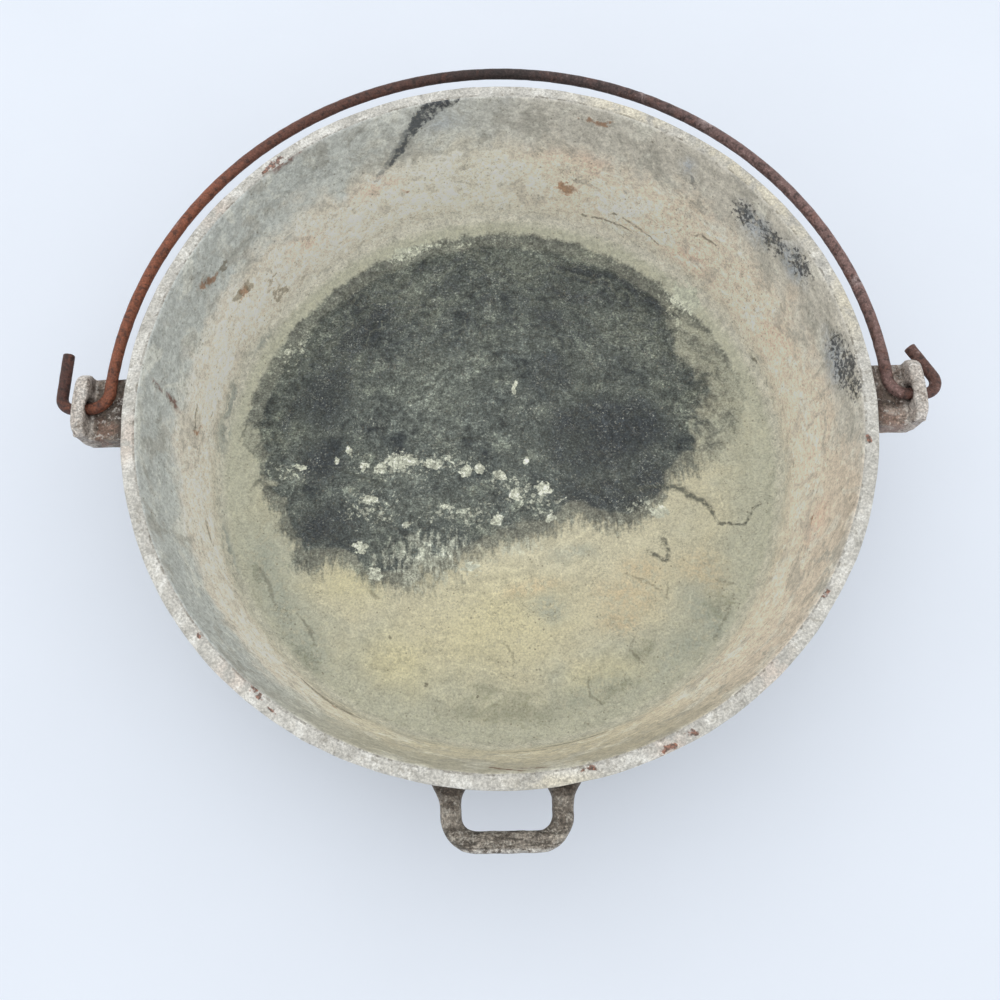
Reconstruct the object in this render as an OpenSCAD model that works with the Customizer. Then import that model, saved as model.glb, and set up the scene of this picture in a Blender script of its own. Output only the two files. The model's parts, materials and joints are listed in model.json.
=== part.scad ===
// Cast dutch oven with a wire bail
// The pot is one casting: floor, sloped wall, rim band, two bail ears and a looped tilt handle.
// The bail is one bent wire whose ends turn in the ears.
// At rest it lies back, level, on the ledges of the ears.
// The origin is the centre of the base. +Z is up, the ears are on X, the tilt handle is towards -Y.

/* [Pot] */
// Outside diameter across the rim
rim_d = 305; // [240:1:380]
// Height from the base to the rim's top
pot_h = 88; // [70:1:140]
// Slope of the wall away from upright, in degrees
wall_slope = 8.7; // [2:0.1:16]
// Thickness of the wall
wall_t = 4.5; // [3:0.1:7]
// Thickness of the floor
floor_t = 6; // [4:0.1:12]
// Radius of the corner inside, between wall and floor
corner_r = 14; // [6:0.5:30]

/* [Rim band] */
// How far the rim band stands out from the wall
rim_lip = 1.7; // [1.3:0.1:4]
// Height of the rim band
rim_h = 7.5; // [5:0.1:7.9]
// Rounding of the rim band's edges
rim_edge_r = 1.2; // [0.5:0.1:1.3]

/* [Bail ears] */
// Width of an ear, along the rim
ear_w = 27.2; // [22:0.2:34]
// How far the ear's middle lies beyond the wire's hole, towards the far side
ear_shift = 0.7; // [0:0.1:2]
// Thickness of the eye plate that the wire passes through
ear_plate_t = 6.5; // [4.5:0.1:10]
// Gap between the rim and the eye plate
ear_gap = 14.6; // [13.6:0.1:20]
// Height of the eye plate, from the ear's underside to its top
ear_h = 16.5; // [14:0.1:26]
// How far the eye plate's top lies below the rim's top
ear_drop = 0.5; // [0:0.1:3]
// Depth of the wire hole's centre below the eye plate's top
hole_drop = 6.1; // [5.5:0.1:7.5]
// Rounding of the eye plate's upper corners, seen from its face
ear_crown_r = 5.2; // [1:0.1:6]
// Rounding of the ear's outer edges
ear_edge_r = 2.6; // [0.5:0.1:3]
// Fillet between the ear's ledge and its eye plate
ledge_fillet_r = 1.6; // [0.5:0.1:1.8]
// How far the eye plate's outer face bows out
ear_bow = 1; // [0.4:0.1:2]
// Radius of the fillets that carry an ear into the wall
ear_root_r = 11; // [4:0.5:16]
// Depth of the countersink round the hole's inner mouth
sink_depth = 1.6; // [0.5:0.1:2]

/* [Tilt handle] */
// Width of the finger opening
grip_open_w = 33.2; // [24:0.2:60]
// Depth of the finger opening, outwards from the rim
grip_open_d = 13.8; // [12:0.1:30]
// Width of the handle's bar, seen from above
grip_bar_w = 7.6; // [5:0.1:12]
// Thickness of the handle's bar
grip_bar_t = 7.4; // [5:0.1:10]
// Rounding of the bar's edges
grip_edge_r = 2.2; // [0.5:0.1:2.4]
// Radius of the finger opening's corners
grip_corner_r = 5.4; // [1:0.1:5.5]
// Radius of the fillets that carry the handle into the wall
grip_root_r = 15; // [4:0.5:15]
// How far the handle's top lies below the rim's top
grip_drop = 8; // [6:0.1:16]

/* [Bail] */
// Diameter of the wire
wire_d = 4.7; // [3:0.1:6]
// Clearance all round the wire in an ear's hole
hole_clear = 0.9; // [0.3:0.1:1.2]
// Clearance between the wire lying flat and the ear's ledge under it
ledge_clear = 0.3; // [0.1:0.1:1]
// Gap between the rim and the wire beside it
bail_gap = 5.5; // [2:0.1:5.8]
// How far the middle of the bail's arc lies beyond its pivots
bail_over = 4.3; // [0:0.1:30]
// Bend radius of the wire at the ears, on its centre line
bend_r = 7.8; // [3.4:0.1:8.4]
// Bend radius of the hooks, on the wire's centre line
hook_r = 5.1; // [3.4:0.1:6.6]
// Free play of the bail's ends outside the eye plates
end_play = 1.1; // [0.4:0.1:3]
// Length of the left hook's straight end
hook_left_l = 19.5; // [6:0.5:30]
// Length of the right hook's straight end
hook_right_l = 15.5; // [6:0.5:24]
// Angle through which the left hook is bent
hook_left_turn = 91; // [80:1:118]
// Angle through which the right hook is bent
hook_right_turn = 120; // [80:1:122]

/* [Hidden] */
$fn = 96;
EPS = 0.01;
// Faces that would only graze each other are set apart by this much, so that they cross cleanly
SKIM = 0.03;

// The wall's inner face is a line from the mouth down to the floor, and its outer face is the
// same line moved out by the wall's thickness.
rim_r = rim_d / 2;
wall_across = wall_t / cos(wall_slope);
mouth_r = rim_r - rim_lip - wall_across;
function inner_r(z) = mouth_r - (pot_h - z) * tan(wall_slope);
function outer_r(z) = inner_r(z) + wall_across;

// Middle of the inside corner's arc. It touches the floor and the sloped wall.
corner_z = floor_t + corner_r;
corner_x = inner_r(corner_z) - corner_r / cos(wall_slope);
base_corner_r = corner_r + min(wall_t, floor_t);
base_corner_x = outer_r(base_corner_r) - base_corner_r / cos(wall_slope);

// Pivot line of the bail, and the heights that follow it
wire_r = wire_d / 2;
ear_top_z = pot_h - ear_drop;
ear_low_z = ear_top_z - ear_h;
pivot_z = ear_top_z - hole_drop;
ledge_z = pivot_z - wire_r - ledge_clear;
hole_r = wire_r + hole_clear;
ear_in_x = rim_r + ear_gap;
ear_out_x = ear_in_x + ear_plate_t;
// Ears and handle start inside the wall. The pot's hollow then trims them.
root_x = inner_r(ear_low_z) - wall_t;

// Middle line of the handle's loop: its corners, its legs and its cross bar
grip_mid_r = grip_corner_r + grip_bar_w / 2;
grip_leg_x = (grip_open_w + grip_bar_w) / 2;
grip_bar_l = 2 * (grip_leg_x - grip_mid_r);
grip_y = rim_r + grip_open_d + grip_bar_w / 2;

// The bail's arc, and where its ends bend out to the ears
bail_r = rim_r + bail_gap + wire_r;
leg_l = max(0, bail_over - bend_r);
arc_start = asin(max(0, bend_r - bail_over) / (bail_r + bend_r));
arc_y = bail_over;
bend_x = (bail_r + bend_r) * cos(arc_start);
hook_x = ear_out_x + end_play;
tip_bevel = 0.4;

module wedge(r, x, z) {
    // Part of the half plane x > 0 within the circle, from which the corner's arc is taken
    translate([x, z]) circle(r);
}

module pot_outline() {
    // Half section of the pot's outside, without the rim band
    intersection() {
        union() {
            polygon([
                [0, 0],
                [base_corner_x, 0],
                [base_corner_x + base_corner_r * cos(wall_slope),
                 base_corner_r - base_corner_r * sin(wall_slope)],
                [outer_r(pot_h), pot_h],
                [0, pot_h]
            ]);
            wedge(base_corner_r, base_corner_x, base_corner_r);
        }
        square([rim_r, pot_h]);
    }
}

module hollow_outline() {
    // Half section of the pot's inside. The mouth opens with a small rounding at the rim's edge.
    edge_r = rim_edge_r;
    edge_z = pot_h - edge_r;
    edge_x = inner_r(edge_z) + (edge_r - SKIM) / cos(wall_slope);
    intersection() {
        union() {
            polygon([
                [0, floor_t],
                [corner_x, floor_t],
                [corner_x + corner_r * cos(wall_slope), corner_z - corner_r * sin(wall_slope)],
                [inner_r(pot_h + 1), pot_h + 1],
                [0, pot_h + 1]
            ]);
            wedge(corner_r, corner_x, corner_z);
        }
        translate([0, floor_t]) square([rim_r, pot_h]);
    }
    difference() {
        polygon([
            [edge_x, edge_z],
            [edge_x, pot_h + 1],
            [mouth_r - edge_r, pot_h + 1],
            [mouth_r - edge_r, edge_z]
        ]);
        translate([edge_x, edge_z]) circle(edge_r);
    }
}

module rim_outline() {
    // Section of the rim band: a bar with rounded edges and a small fillet down to the wall
    low_z = pot_h - rim_h;
    fillet_r = 0.9 * rim_lip;
    fillet_x = outer_r(low_z - fillet_r) + fillet_r;
    in_x = inner_r(low_z - fillet_r) - wall_t;
    difference() {
        union() {
            translate([in_x, low_z]) square([rim_r - in_x - rim_edge_r, rim_h]);
            translate([rim_r - 2 * rim_edge_r, low_z + rim_edge_r])
                square([2 * rim_edge_r, rim_h - 2 * rim_edge_r]);
            for (z = [low_z + rim_edge_r, pot_h - rim_edge_r])
                translate([rim_r - rim_edge_r, z]) circle(rim_edge_r);
            translate([in_x, low_z - fillet_r]) square([fillet_x - in_x, fillet_r + EPS]);
        }
        translate([fillet_x, low_z - fillet_r]) circle(fillet_r);
    }
}

module pot_shell() {
    // The bowl is closed here. The hollow is cut once the ears and the handle are on.
    rotate_extrude($fn = 240) {
        intersection() {
            pot_outline();
            square([rim_r, pot_h - rim_h / 2]);
        }
        rim_outline();
    }
}

module pot_hollow() {
    rotate_extrude($fn = 240) hollow_outline();
}

module rounded_slab(x0, x1, y0, y1, r) {
    // Flat outline with four corners of radius r, from corner (x0, y0) to (x1, y1)
    translate([x0 + r, y0]) square([x1 - x0 - 2 * r, y1 - y0]);
    translate([x0, y0 + r]) square([x1 - x0, y1 - y0 - 2 * r]);
    for (x = [x0 + r, x1 - r], y = [y0 + r, y1 - r])
        translate([x, y]) circle(r);
}

module ear_plan() {
    // Ear from above: the outer face bows out a little and its corners are rounded
    half = ear_w / 2 + SKIM;
    flat = half - ear_edge_r;
    bow_r = (flat * flat + ear_bow * ear_bow) / (2 * ear_bow);
    edge_x = ear_out_x - ear_bow;
    intersection() {
        translate([ear_out_x - bow_r, 0]) circle(bow_r, $fn = 360);
        union() {
            translate([root_x, -flat]) square([ear_out_x + SKIM - root_x, 2 * flat]);
            translate([root_x, -half]) square([edge_x - ear_edge_r - root_x, 2 * half]);
            for (side = [-1, 1])
                translate([edge_x - ear_edge_r, side * flat]) circle(ear_edge_r);
        }
    }
}

module ear_face() {
    // Ear from its outer end: crowned at the top, rounded at the bottom
    half = ear_w / 2;
    low_z = ear_low_z - SKIM;
    top_z = ear_top_z + SKIM;
    low_r = ear_edge_r;
    crown_r = ear_crown_r;
    translate([-half, low_z + low_r]) square([ear_w, top_z - low_z - low_r - crown_r]);
    translate([-half + low_r, low_z]) square([ear_w - 2 * low_r, low_r + EPS]);
    translate([-half + crown_r, top_z - crown_r - EPS]) square([ear_w - 2 * crown_r, crown_r + EPS]);
    for (side = [-1, 1]) {
        translate([side * (half - low_r), low_z + low_r]) circle(low_r);
        translate([side * (half - crown_r), top_z - crown_r]) circle(crown_r);
    }
}

module ear_section() {
    // Ear cut along X: the eye plate, the ledge under the wire, and the fillet between them
    fillet_r = ledge_fillet_r;
    rounded_slab(ear_in_x, ear_out_x + SKIM, ear_low_z, ear_top_z, ear_edge_r);
    translate([root_x, ear_low_z]) square([ear_in_x + ear_plate_t / 2 - root_x, ledge_z - ear_low_z]);
    difference() {
        translate([ear_in_x - fillet_r, ledge_z - EPS]) square([fillet_r + EPS, fillet_r]);
        translate([ear_in_x - fillet_r, ledge_z + fillet_r]) circle(fillet_r);
    }
}

module ear_root() {
    // The two fillets, seen from above, that carry the ear into the wall
    reach = outer_r(ledge_z) + ear_root_r;
    inward = root_x / reach;
    round_y = [for (side = [-1, 1]) ear_shift + side * (ear_w / 2 + ear_root_r - SKIM)];
    round_x = [for (y = round_y) sqrt(reach * reach - y * y)];
    translate([0, 0, ear_low_z])
        linear_extrude(ledge_z - ear_low_z)
            difference() {
                polygon([
                    [inward * round_x[0], inward * round_y[0]],
                    [round_x[0], round_y[0]],
                    [round_x[1], round_y[1]],
                    [inward * round_x[1], inward * round_y[1]]
                ]);
                for (i = [0, 1])
                    translate([round_x[i], round_y[i]]) circle(ear_root_r);
            }
}

module ear_body() {
    // Where the three outlines agree: cut along X, from the outer end and from above
    translate([0, ear_shift, 0])
        intersection() {
            translate([0, ear_w / 2 + 1, 0]) rotate([90, 0, 0]) linear_extrude(ear_w + 2) ear_section();
            translate([root_x - 1, 0, 0])
                rotate([90, 0, 90]) linear_extrude(ear_out_x - root_x + 2) ear_face();
            translate([0, 0, ear_low_z - 1]) linear_extrude(ear_h + 2) ear_plan();
        }
}

module ear_hole() {
    // The wire's hole, with a countersink at its inner mouth
    sink_r = hole_r + sink_depth;
    translate([ear_in_x - 1, 0, pivot_z]) rotate([0, 90, 0]) cylinder(r = hole_r, h = ear_plate_t + 2);
    translate([ear_in_x - EPS, 0, pivot_z]) rotate([0, 90, 0])
        cylinder(r1 = sink_r, r2 = hole_r, h = sink_depth);
}

module grip_section(inset = 0) {
    w = grip_bar_w / 2 - inset;
    t = grip_bar_t / 2 - inset;
    rounded_slab(-w, w, -t, t, grip_edge_r);
}

module grip_bar() {
    // The cross bar, from corner to corner
    translate([-grip_bar_l / 2, 0, 0])
        rotate([90, 0, 90]) translate([-grip_y, 0, 0]) linear_extrude(grip_bar_l) grip_section();
}

module grip_side() {
    // One corner of the loop and its leg into the wall. The corner runs on a little inside both.
    lap = 0.2 / grip_corner_r * 180 / PI;
    translate([grip_bar_l / 2, grip_mid_r - grip_y, 0])
        rotate([0, 0, -90 - lap])
            rotate_extrude(angle = 90 + 2 * lap) translate([grip_mid_r, 0]) grip_section(SKIM);
    translate([grip_leg_x, -root_x, 0]) rotate([90, 0, 0])
        linear_extrude(grip_y - root_x - grip_mid_r) grip_section();
}

module grip_root() {
    // Fillets between the legs and the wall, inside and outside the loop
    leg_in = grip_open_w / 2;
    leg_out = leg_in + grip_bar_w;
    inner_root_r = 0.45 * grip_root_r;
    wall_r = outer_r(pot_h - grip_drop);
    outer_x = leg_out + grip_root_r;
    outer_y = -sqrt(pow(wall_r + grip_root_r, 2) - outer_x * outer_x);
    inner_x = leg_in - inner_root_r;
    inner_y = -sqrt(pow(wall_r + inner_root_r, 2) - inner_x * inner_x);
    translate([0, 0, -grip_bar_t / 2])
        linear_extrude(grip_bar_t)
            difference() {
                polygon([
                    [inner_x, inner_y],
                    [leg_in + grip_edge_r, inner_y],
                    [leg_out - grip_edge_r, outer_y],
                    [outer_x, outer_y],
                    [outer_x * root_x / (wall_r + grip_root_r), outer_y * root_x / (wall_r + grip_root_r)],
                    [inner_x * root_x / (wall_r + inner_root_r), inner_y * root_x / (wall_r + inner_root_r)]
                ]);
                translate([outer_x, outer_y]) circle(grip_root_r);
                translate([inner_x, inner_y]) circle(inner_root_r);
            }
}

module tilt_handle() {
    translate([0, 0, pot_h - grip_drop - grip_bar_t / 2]) {
        grip_bar();
        for (side = [0, 1])
            mirror([side, 0, 0]) {
                grip_side();
                grip_root();
            }
    }
}

module pot() {
    color("#b9b6a8")
        difference() {
            union() {
                pot_shell();
                for (side = [0, 1])
                    mirror([side, 0, 0]) {
                        ear_body();
                        ear_root();
                    }
                tilt_handle();
            }
            pot_hollow();
            for (side = [0, 1]) mirror([side, 0, 0]) ear_hole();
        }
}

module wire_arc(r, from, to, thin) {
    // An arc of wire in the XY plane round the origin, between two directions in degrees
    rotate([0, 0, from])
        rotate_extrude(angle = to - from) translate([r, 0]) circle(wire_r - thin, $fn = 32);
}

module wire_bend(r, turn) {
    // A bend draws the wire a touch thinner, and runs on a little inside the wire at both ends
    lap = 0.3 / r * 180 / PI;
    wire_arc(r, -lap, turn + lap, SKIM);
}

module wire_run(length, thin = 0) {
    // A straight stretch along +Y
    rotate([-90, 0, 0]) cylinder(r = wire_r - thin, h = length, $fn = 32);
}

module wire_tip() {
    // The cut end of the wire, with its edge broken
    rotate([-90, 0, 0]) cylinder(r1 = wire_r, r2 = wire_r - tip_bevel, h = tip_bevel, $fn = 32);
}

module bail_end(turn, hook_l) {
    // From the end of the arc: the leg, the bend into the ear, the pivot and the hook
    if (leg_l > 0) translate([bail_r, bend_r, 0]) wire_run(leg_l + 0.3, SKIM / 2);
    translate([bend_x, bend_r, 0]) rotate([0, 0, 180 + arc_start]) wire_bend(bend_r, 90 - arc_start);
    translate([bend_x, 0, 0]) rotate([0, 0, -90]) wire_run(hook_x - bend_x);
    translate([hook_x, hook_r, 0]) {
        rotate([0, 0, -90]) wire_bend(hook_r, turn);
        rotate([0, 0, turn - 90]) translate([hook_r, 0, 0]) {
            wire_run(hook_l - tip_bevel);
            translate([0, hook_l - tip_bevel, 0]) wire_tip();
        }
    }
}

module bail() {
    color("#6b4232")
        translate([0, 0, pivot_z]) {
            translate([0, arc_y, 0]) wire_arc(bail_r, arc_start, 180 - arc_start, 0, $fn = 240);
            bail_end(hook_right_turn, hook_right_l);
            mirror([1, 0, 0]) bail_end(hook_left_turn, hook_left_l);
        }
}

pot();
bail();
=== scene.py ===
import json
import math

import bmesh
import bpy
from bpy.props import FloatProperty, FloatVectorProperty, IntProperty, PointerProperty
from mathutils import Matrix, Vector, noise


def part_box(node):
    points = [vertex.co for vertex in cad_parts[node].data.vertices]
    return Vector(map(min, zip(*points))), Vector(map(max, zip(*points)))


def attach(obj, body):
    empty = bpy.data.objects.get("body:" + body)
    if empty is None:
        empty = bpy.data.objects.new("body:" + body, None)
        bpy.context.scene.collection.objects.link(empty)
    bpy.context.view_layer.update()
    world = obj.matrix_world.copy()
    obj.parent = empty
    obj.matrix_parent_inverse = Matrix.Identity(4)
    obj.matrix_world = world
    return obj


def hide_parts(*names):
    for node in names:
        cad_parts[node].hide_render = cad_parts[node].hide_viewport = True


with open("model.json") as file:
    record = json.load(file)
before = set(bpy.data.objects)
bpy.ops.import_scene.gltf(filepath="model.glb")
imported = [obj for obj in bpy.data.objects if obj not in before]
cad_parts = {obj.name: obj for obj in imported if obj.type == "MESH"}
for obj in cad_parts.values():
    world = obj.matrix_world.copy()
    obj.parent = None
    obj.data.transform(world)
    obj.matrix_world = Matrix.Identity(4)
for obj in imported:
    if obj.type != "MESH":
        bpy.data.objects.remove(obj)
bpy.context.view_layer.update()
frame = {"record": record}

bl_info = {
    "name": "Old Dutch Oven",
    "version": (1, 0, 0),
    "blender": (4, 5, 0),
    "location": "View3D > Sidebar > Oven",
    "description": "Builds a cast dutch oven with a wire bail, its worn finishes and a plain stage",
    "category": "Add Mesh",
}

MM = 0.001
POT_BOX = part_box("pot")
BAIL_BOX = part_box("bail")
PIVOT_Z = frame["record"]["behaviour"]["joints"][0]["pos_m"][2]


def length(name, description, default):
    return FloatProperty(name=name, description=description, default=default, min=0.0, unit="LENGTH", precision=5)


def tint(name, description, default):
    return FloatVectorProperty(name=name, description=description, default=default, size=3, min=0.0, max=1.0, subtype="COLOR")


def mm(values):
    """Lengths in millimetres as metres."""
    return tuple(v * MM for v in values)


def srgb(r, g, b):
    """A colour written as it looks on a screen, 0 to 255, turned into the linear values that shaders take."""
    return tuple(((c / 255 + 0.055) / 1.055) ** 2.4 if c > 10 else c / 255 / 12.92 for c in (r, g, b))


# Sizes and colours


class OvenPotSettings(bpy.types.PropertyGroup):
    rim_radius: length("Rim radius", "Outside radius of the rim", 0.1525)
    height: length("Height", "Height of the rim's top above the base", POT_BOX[1][2])
    floor_t: length("Floor", "Thickness of the floor", 0.006)
    wall_t: length("Wall", "Thickness of the wall", 0.0045)
    slope: FloatProperty(name="Wall slope", description="Slope of the wall away from upright", default=math.radians(8.7), subtype="ANGLE")
    corner_r: length("Corner", "Radius of the corner inside, between wall and floor", 0.014)
    rim_lip: length("Rim lip", "How far the rim band stands out from the wall", 0.0017)
    rim_h: length("Rim height", "Height of the rim band", 0.0075)
    rim_edge_r: length("Rim rounding", "Rounding of the rim's edges", 0.0014)
    unevenness: length("Unevenness", "How far the cast surface wanders from its true form", 0.00022)
    floor_gain: FloatProperty(name="Floor gain", description="How much paler the floor's finish is than it looks in the bowl's shade", default=1.13)
    wall_gain: FloatProperty(name="Wall gain", description="How much paler the wall's finish is than it looks in the bowl's shade", default=1.76)
    rim_gain: FloatProperty(name="Rim gain", description="How much paler the rim's finish is than it looks", default=1.0)
    floor_colour: tint("Floor", "Cream film on the near half of the floor", srgb(197, 192, 167))


class OvenEarSettings(bpy.types.PropertyGroup):
    width: length("Width", "Width of an ear along the rim", 0.0272)
    shift: length("Shift", "How far the ear's middle lies beyond the wire's hole", 0.0007)
    plate_t: length("Plate", "Thickness of the eye plate", 0.0065)
    inner_x: length("Plate's inner face", "Distance of the eye plate's inner face from the pot's axis", 0.1671)
    top_z: length("Top", "Height of the eye plate's top", 0.0875)
    height: length("Height", "Height of the eye plate", 0.0165)
    ledge_z: length("Ledge", "Height of the ledge that the wire rests on", 0.07875)
    hole_r: length("Hole", "Radius of the wire's hole", 0.00325)
    crown_r: length("Crown", "Rounding of the plate's upper corners", 0.0052)
    edge_r: length("Edges", "Rounding of the plate's outer edges", 0.0026)
    root: length("Root", "How far the web's flares run out along the wall", 0.0088)
    lean: length("Lean", "How far the plate's inner face leans out at its top", 0.0011)


class OvenHandleSettings(bpy.types.PropertyGroup):
    opening_w: length("Opening", "Width of the finger opening", 0.0332)
    bar_w: length("Bar", "Width of the bar seen from above", 0.0076)
    bar_t: length("Thickness", "Thickness of the bar", 0.0074)
    outer_y: length("Reach", "Distance of the cross bar's outer side from the pot's axis", 0.1739)
    corner_r: length("Corner", "Radius of the opening's outer corners", 0.0054)
    root: length("Root", "How far the legs' outer flares reach along the leg and the wall", 0.0120)
    inner_root: length("Inner root", "How far the legs' inner flares reach", 0.0069)
    top_z: length("Top", "Height of the handle's top", 0.080)


class OvenBailSettings(bpy.types.PropertyGroup):
    wire_r: length("Wire", "Radius of the wire", 0.00235)
    arc_r: length("Arc", "Radius of the bail's arc on its centre line", 0.16035)
    arc_y: length("Reach", "How far the arc's middle lies beyond the pivots", 0.0043)
    bend_r: length("Bend", "Radius of the bends at the ears", 0.0078)
    hook_r: length("Hook", "Radius of the hooks' bends", 0.0051)
    hook_x: length("Hook start", "Where the hooks' bends start, from the pot's axis", 0.1747)
    right_turn: FloatProperty(name="Right hook", description="Angle of the right hook", default=math.radians(120), subtype="ANGLE")
    left_turn: FloatProperty(name="Left hook", description="Angle of the left hook", default=math.radians(91), subtype="ANGLE")
    right_l: length("Right end", "Length of the right hook's straight end", 0.0151)
    left_l: length("Left end", "Length of the left hook's straight end", 0.0191)
    ring_sides: IntProperty(name="Sides", description="Sides of the wire's section", default=20, min=8, max=48)


class OvenStageSettings(bpy.types.PropertyGroup):
    floor_size: length("Floor", "Side of the floor", 6.0)
    floor_colour: tint("Floor", "Colour of the floor", srgb(233, 240, 250))
    sky: FloatProperty(name="Sky", description="Strength of the even light all round", default=0.93, min=0.0)
    key: FloatProperty(name="Key", description="Power of the soft light from the far left, in watts", default=2.5, min=0.0)
    fill: FloatProperty(name="Fill", description="Power of the soft light from the near right, in watts", default=2.0, min=0.0)
    lens: FloatProperty(name="Lens", description="Focal length of the camera in millimetres", default=33.264, min=1.0)
    pitch: FloatProperty(name="Pitch", description="Tilt of the camera from straight down", default=math.radians(17.415), subtype="ANGLE")
    roll: FloatProperty(name="Roll", description="Roll of the camera about its own axis", default=math.radians(-1.085), subtype="ANGLE")
    eye: FloatVectorProperty(name="Eye", description="Place of the camera", default=(-0.000381, -0.152104, 0.431201), size=3, subtype="XYZ", unit="LENGTH")


# Mesh helpers


def make_piece(name, bm, materials, body, replaced=None):
    """Turns a bmesh into a piece that rides on a body and takes its finish from a slot."""
    mesh = bpy.data.meshes.new(name)
    bm.to_mesh(mesh)
    bm.free()
    for m in materials:
        mesh.materials.append(m)
    obj = bpy.data.objects.new(name, mesh)
    bpy.context.scene.collection.objects.link(obj)
    for poly in mesh.polygons:
        poly.use_smooth = True
    if body:
        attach(obj, body)
    if replaced:
        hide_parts(replaced)
    return obj


def bake_modifiers(obj):
    """Replaces an object's mesh by what its modifiers make of it, and returns it as a bmesh. The object goes."""
    graph = bpy.context.evaluated_depsgraph_get()
    mesh = bpy.data.meshes.new_from_object(obj.evaluated_get(graph))
    bm = bmesh.new()
    bm.from_mesh(mesh)
    old = obj.data
    bpy.data.objects.remove(obj)
    bpy.data.meshes.remove(old)
    bpy.data.meshes.remove(mesh)
    return bm


def loose(name, bm):
    mesh = bpy.data.meshes.new(name)
    bm.to_mesh(mesh)
    bm.free()
    obj = bpy.data.objects.new(name, mesh)
    bpy.context.scene.collection.objects.link(obj)
    return obj


def cast_soften(bm, voxel, rounds, name):
    """Melts overlapping closed shells into one casting with soft edges."""
    obj = loose(name, bm)
    remesh = obj.modifiers.new("melt", "REMESH")
    remesh.mode = "VOXEL"
    remesh.voxel_size = voxel
    bm = bake_modifiers(obj)
    for _ in range(rounds):
        bmesh.ops.smooth_vert(bm, verts=bm.verts, factor=0.5, use_axis_x=True, use_axis_y=True, use_axis_z=True)
    return bm


def cut_away(bm, cutter):
    """Cuts one closed bmesh out of another, and returns what is left."""
    body = loose("body", bm)
    tool = loose("cutter", cutter)
    cut = body.modifiers.new("cut", "BOOLEAN")
    cut.operation = "DIFFERENCE"
    cut.object = tool
    cut.solver = "EXACT"
    cut.use_self = True
    left = bake_modifiers(body)
    mesh = tool.data
    bpy.data.objects.remove(tool)
    bpy.data.meshes.remove(mesh)
    return left


def roughen(bm, amount, grain, seed, fine=0.35):
    """Moves each vertex along its normal by smooth noise, as sand casting or rust leaves it."""
    bm.normal_update()
    shift = Vector((seed * 1.7, seed * 2.3, seed * 3.1))
    moves = []
    for v in bm.verts:
        n = noise.noise(v.co / grain + shift) + fine * noise.noise(v.co / (grain * 0.3) + shift)
        moves.append(v.normal * (n * amount))
    for v, m in zip(bm.verts, moves):
        v.co += m


def wire_path(bm, points):
    """A chain of vertices joined by edges."""
    verts = [bm.verts.new(p) for p in points]
    edges = [bm.edges.new((a, b)) for a, b in zip(verts[:-1], verts[1:])]
    return verts, edges


def round_vertex(bm, vert, offset, segments):
    bmesh.ops.bevel(bm, geom=[vert], offset=offset, offset_type="OFFSET", segments=segments, profile=0.5, affect="VERTICES", material=-1)


def split_long(bm, step):
    """Divides every edge of a wire outline that is longer than a step."""
    for edge in list(bm.edges):
        cuts = int(edge.calc_length() / step)
        if cuts:
            bmesh.ops.subdivide_edges(bm, edges=[edge], cuts=cuts)


def round_cap(bm, faces, radius, segments=4):
    """Rounds the edge of a flat cap by insets that follow a quarter circle."""
    for k in range(1, segments + 1):
        a = math.pi / 2 * k / segments
        b = math.pi / 2 * (k - 1) / segments
        bmesh.ops.inset_region(
            bm,
            faces=faces,
            thickness=radius * (math.cos(b) - math.cos(a)),
            depth=radius * (math.sin(a) - math.sin(b)),
            use_even_offset=True,
            use_boundary=True,
        )


# Material helpers


def place_group():
    """The object's own coordinates as a plain vector, shared by all finishes."""
    group = bpy.data.node_groups.get("place")
    if not group:
        group = bpy.data.node_groups.new("place", "ShaderNodeTree")
        group.interface.new_socket("Place", in_out="OUTPUT", socket_type="NodeSocketVector")
        coords = group.nodes.new("ShaderNodeTexCoord")
        group.links.new(coords.outputs["Object"], group.nodes.new("NodeGroupOutput").inputs["Place"])
    return group


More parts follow.
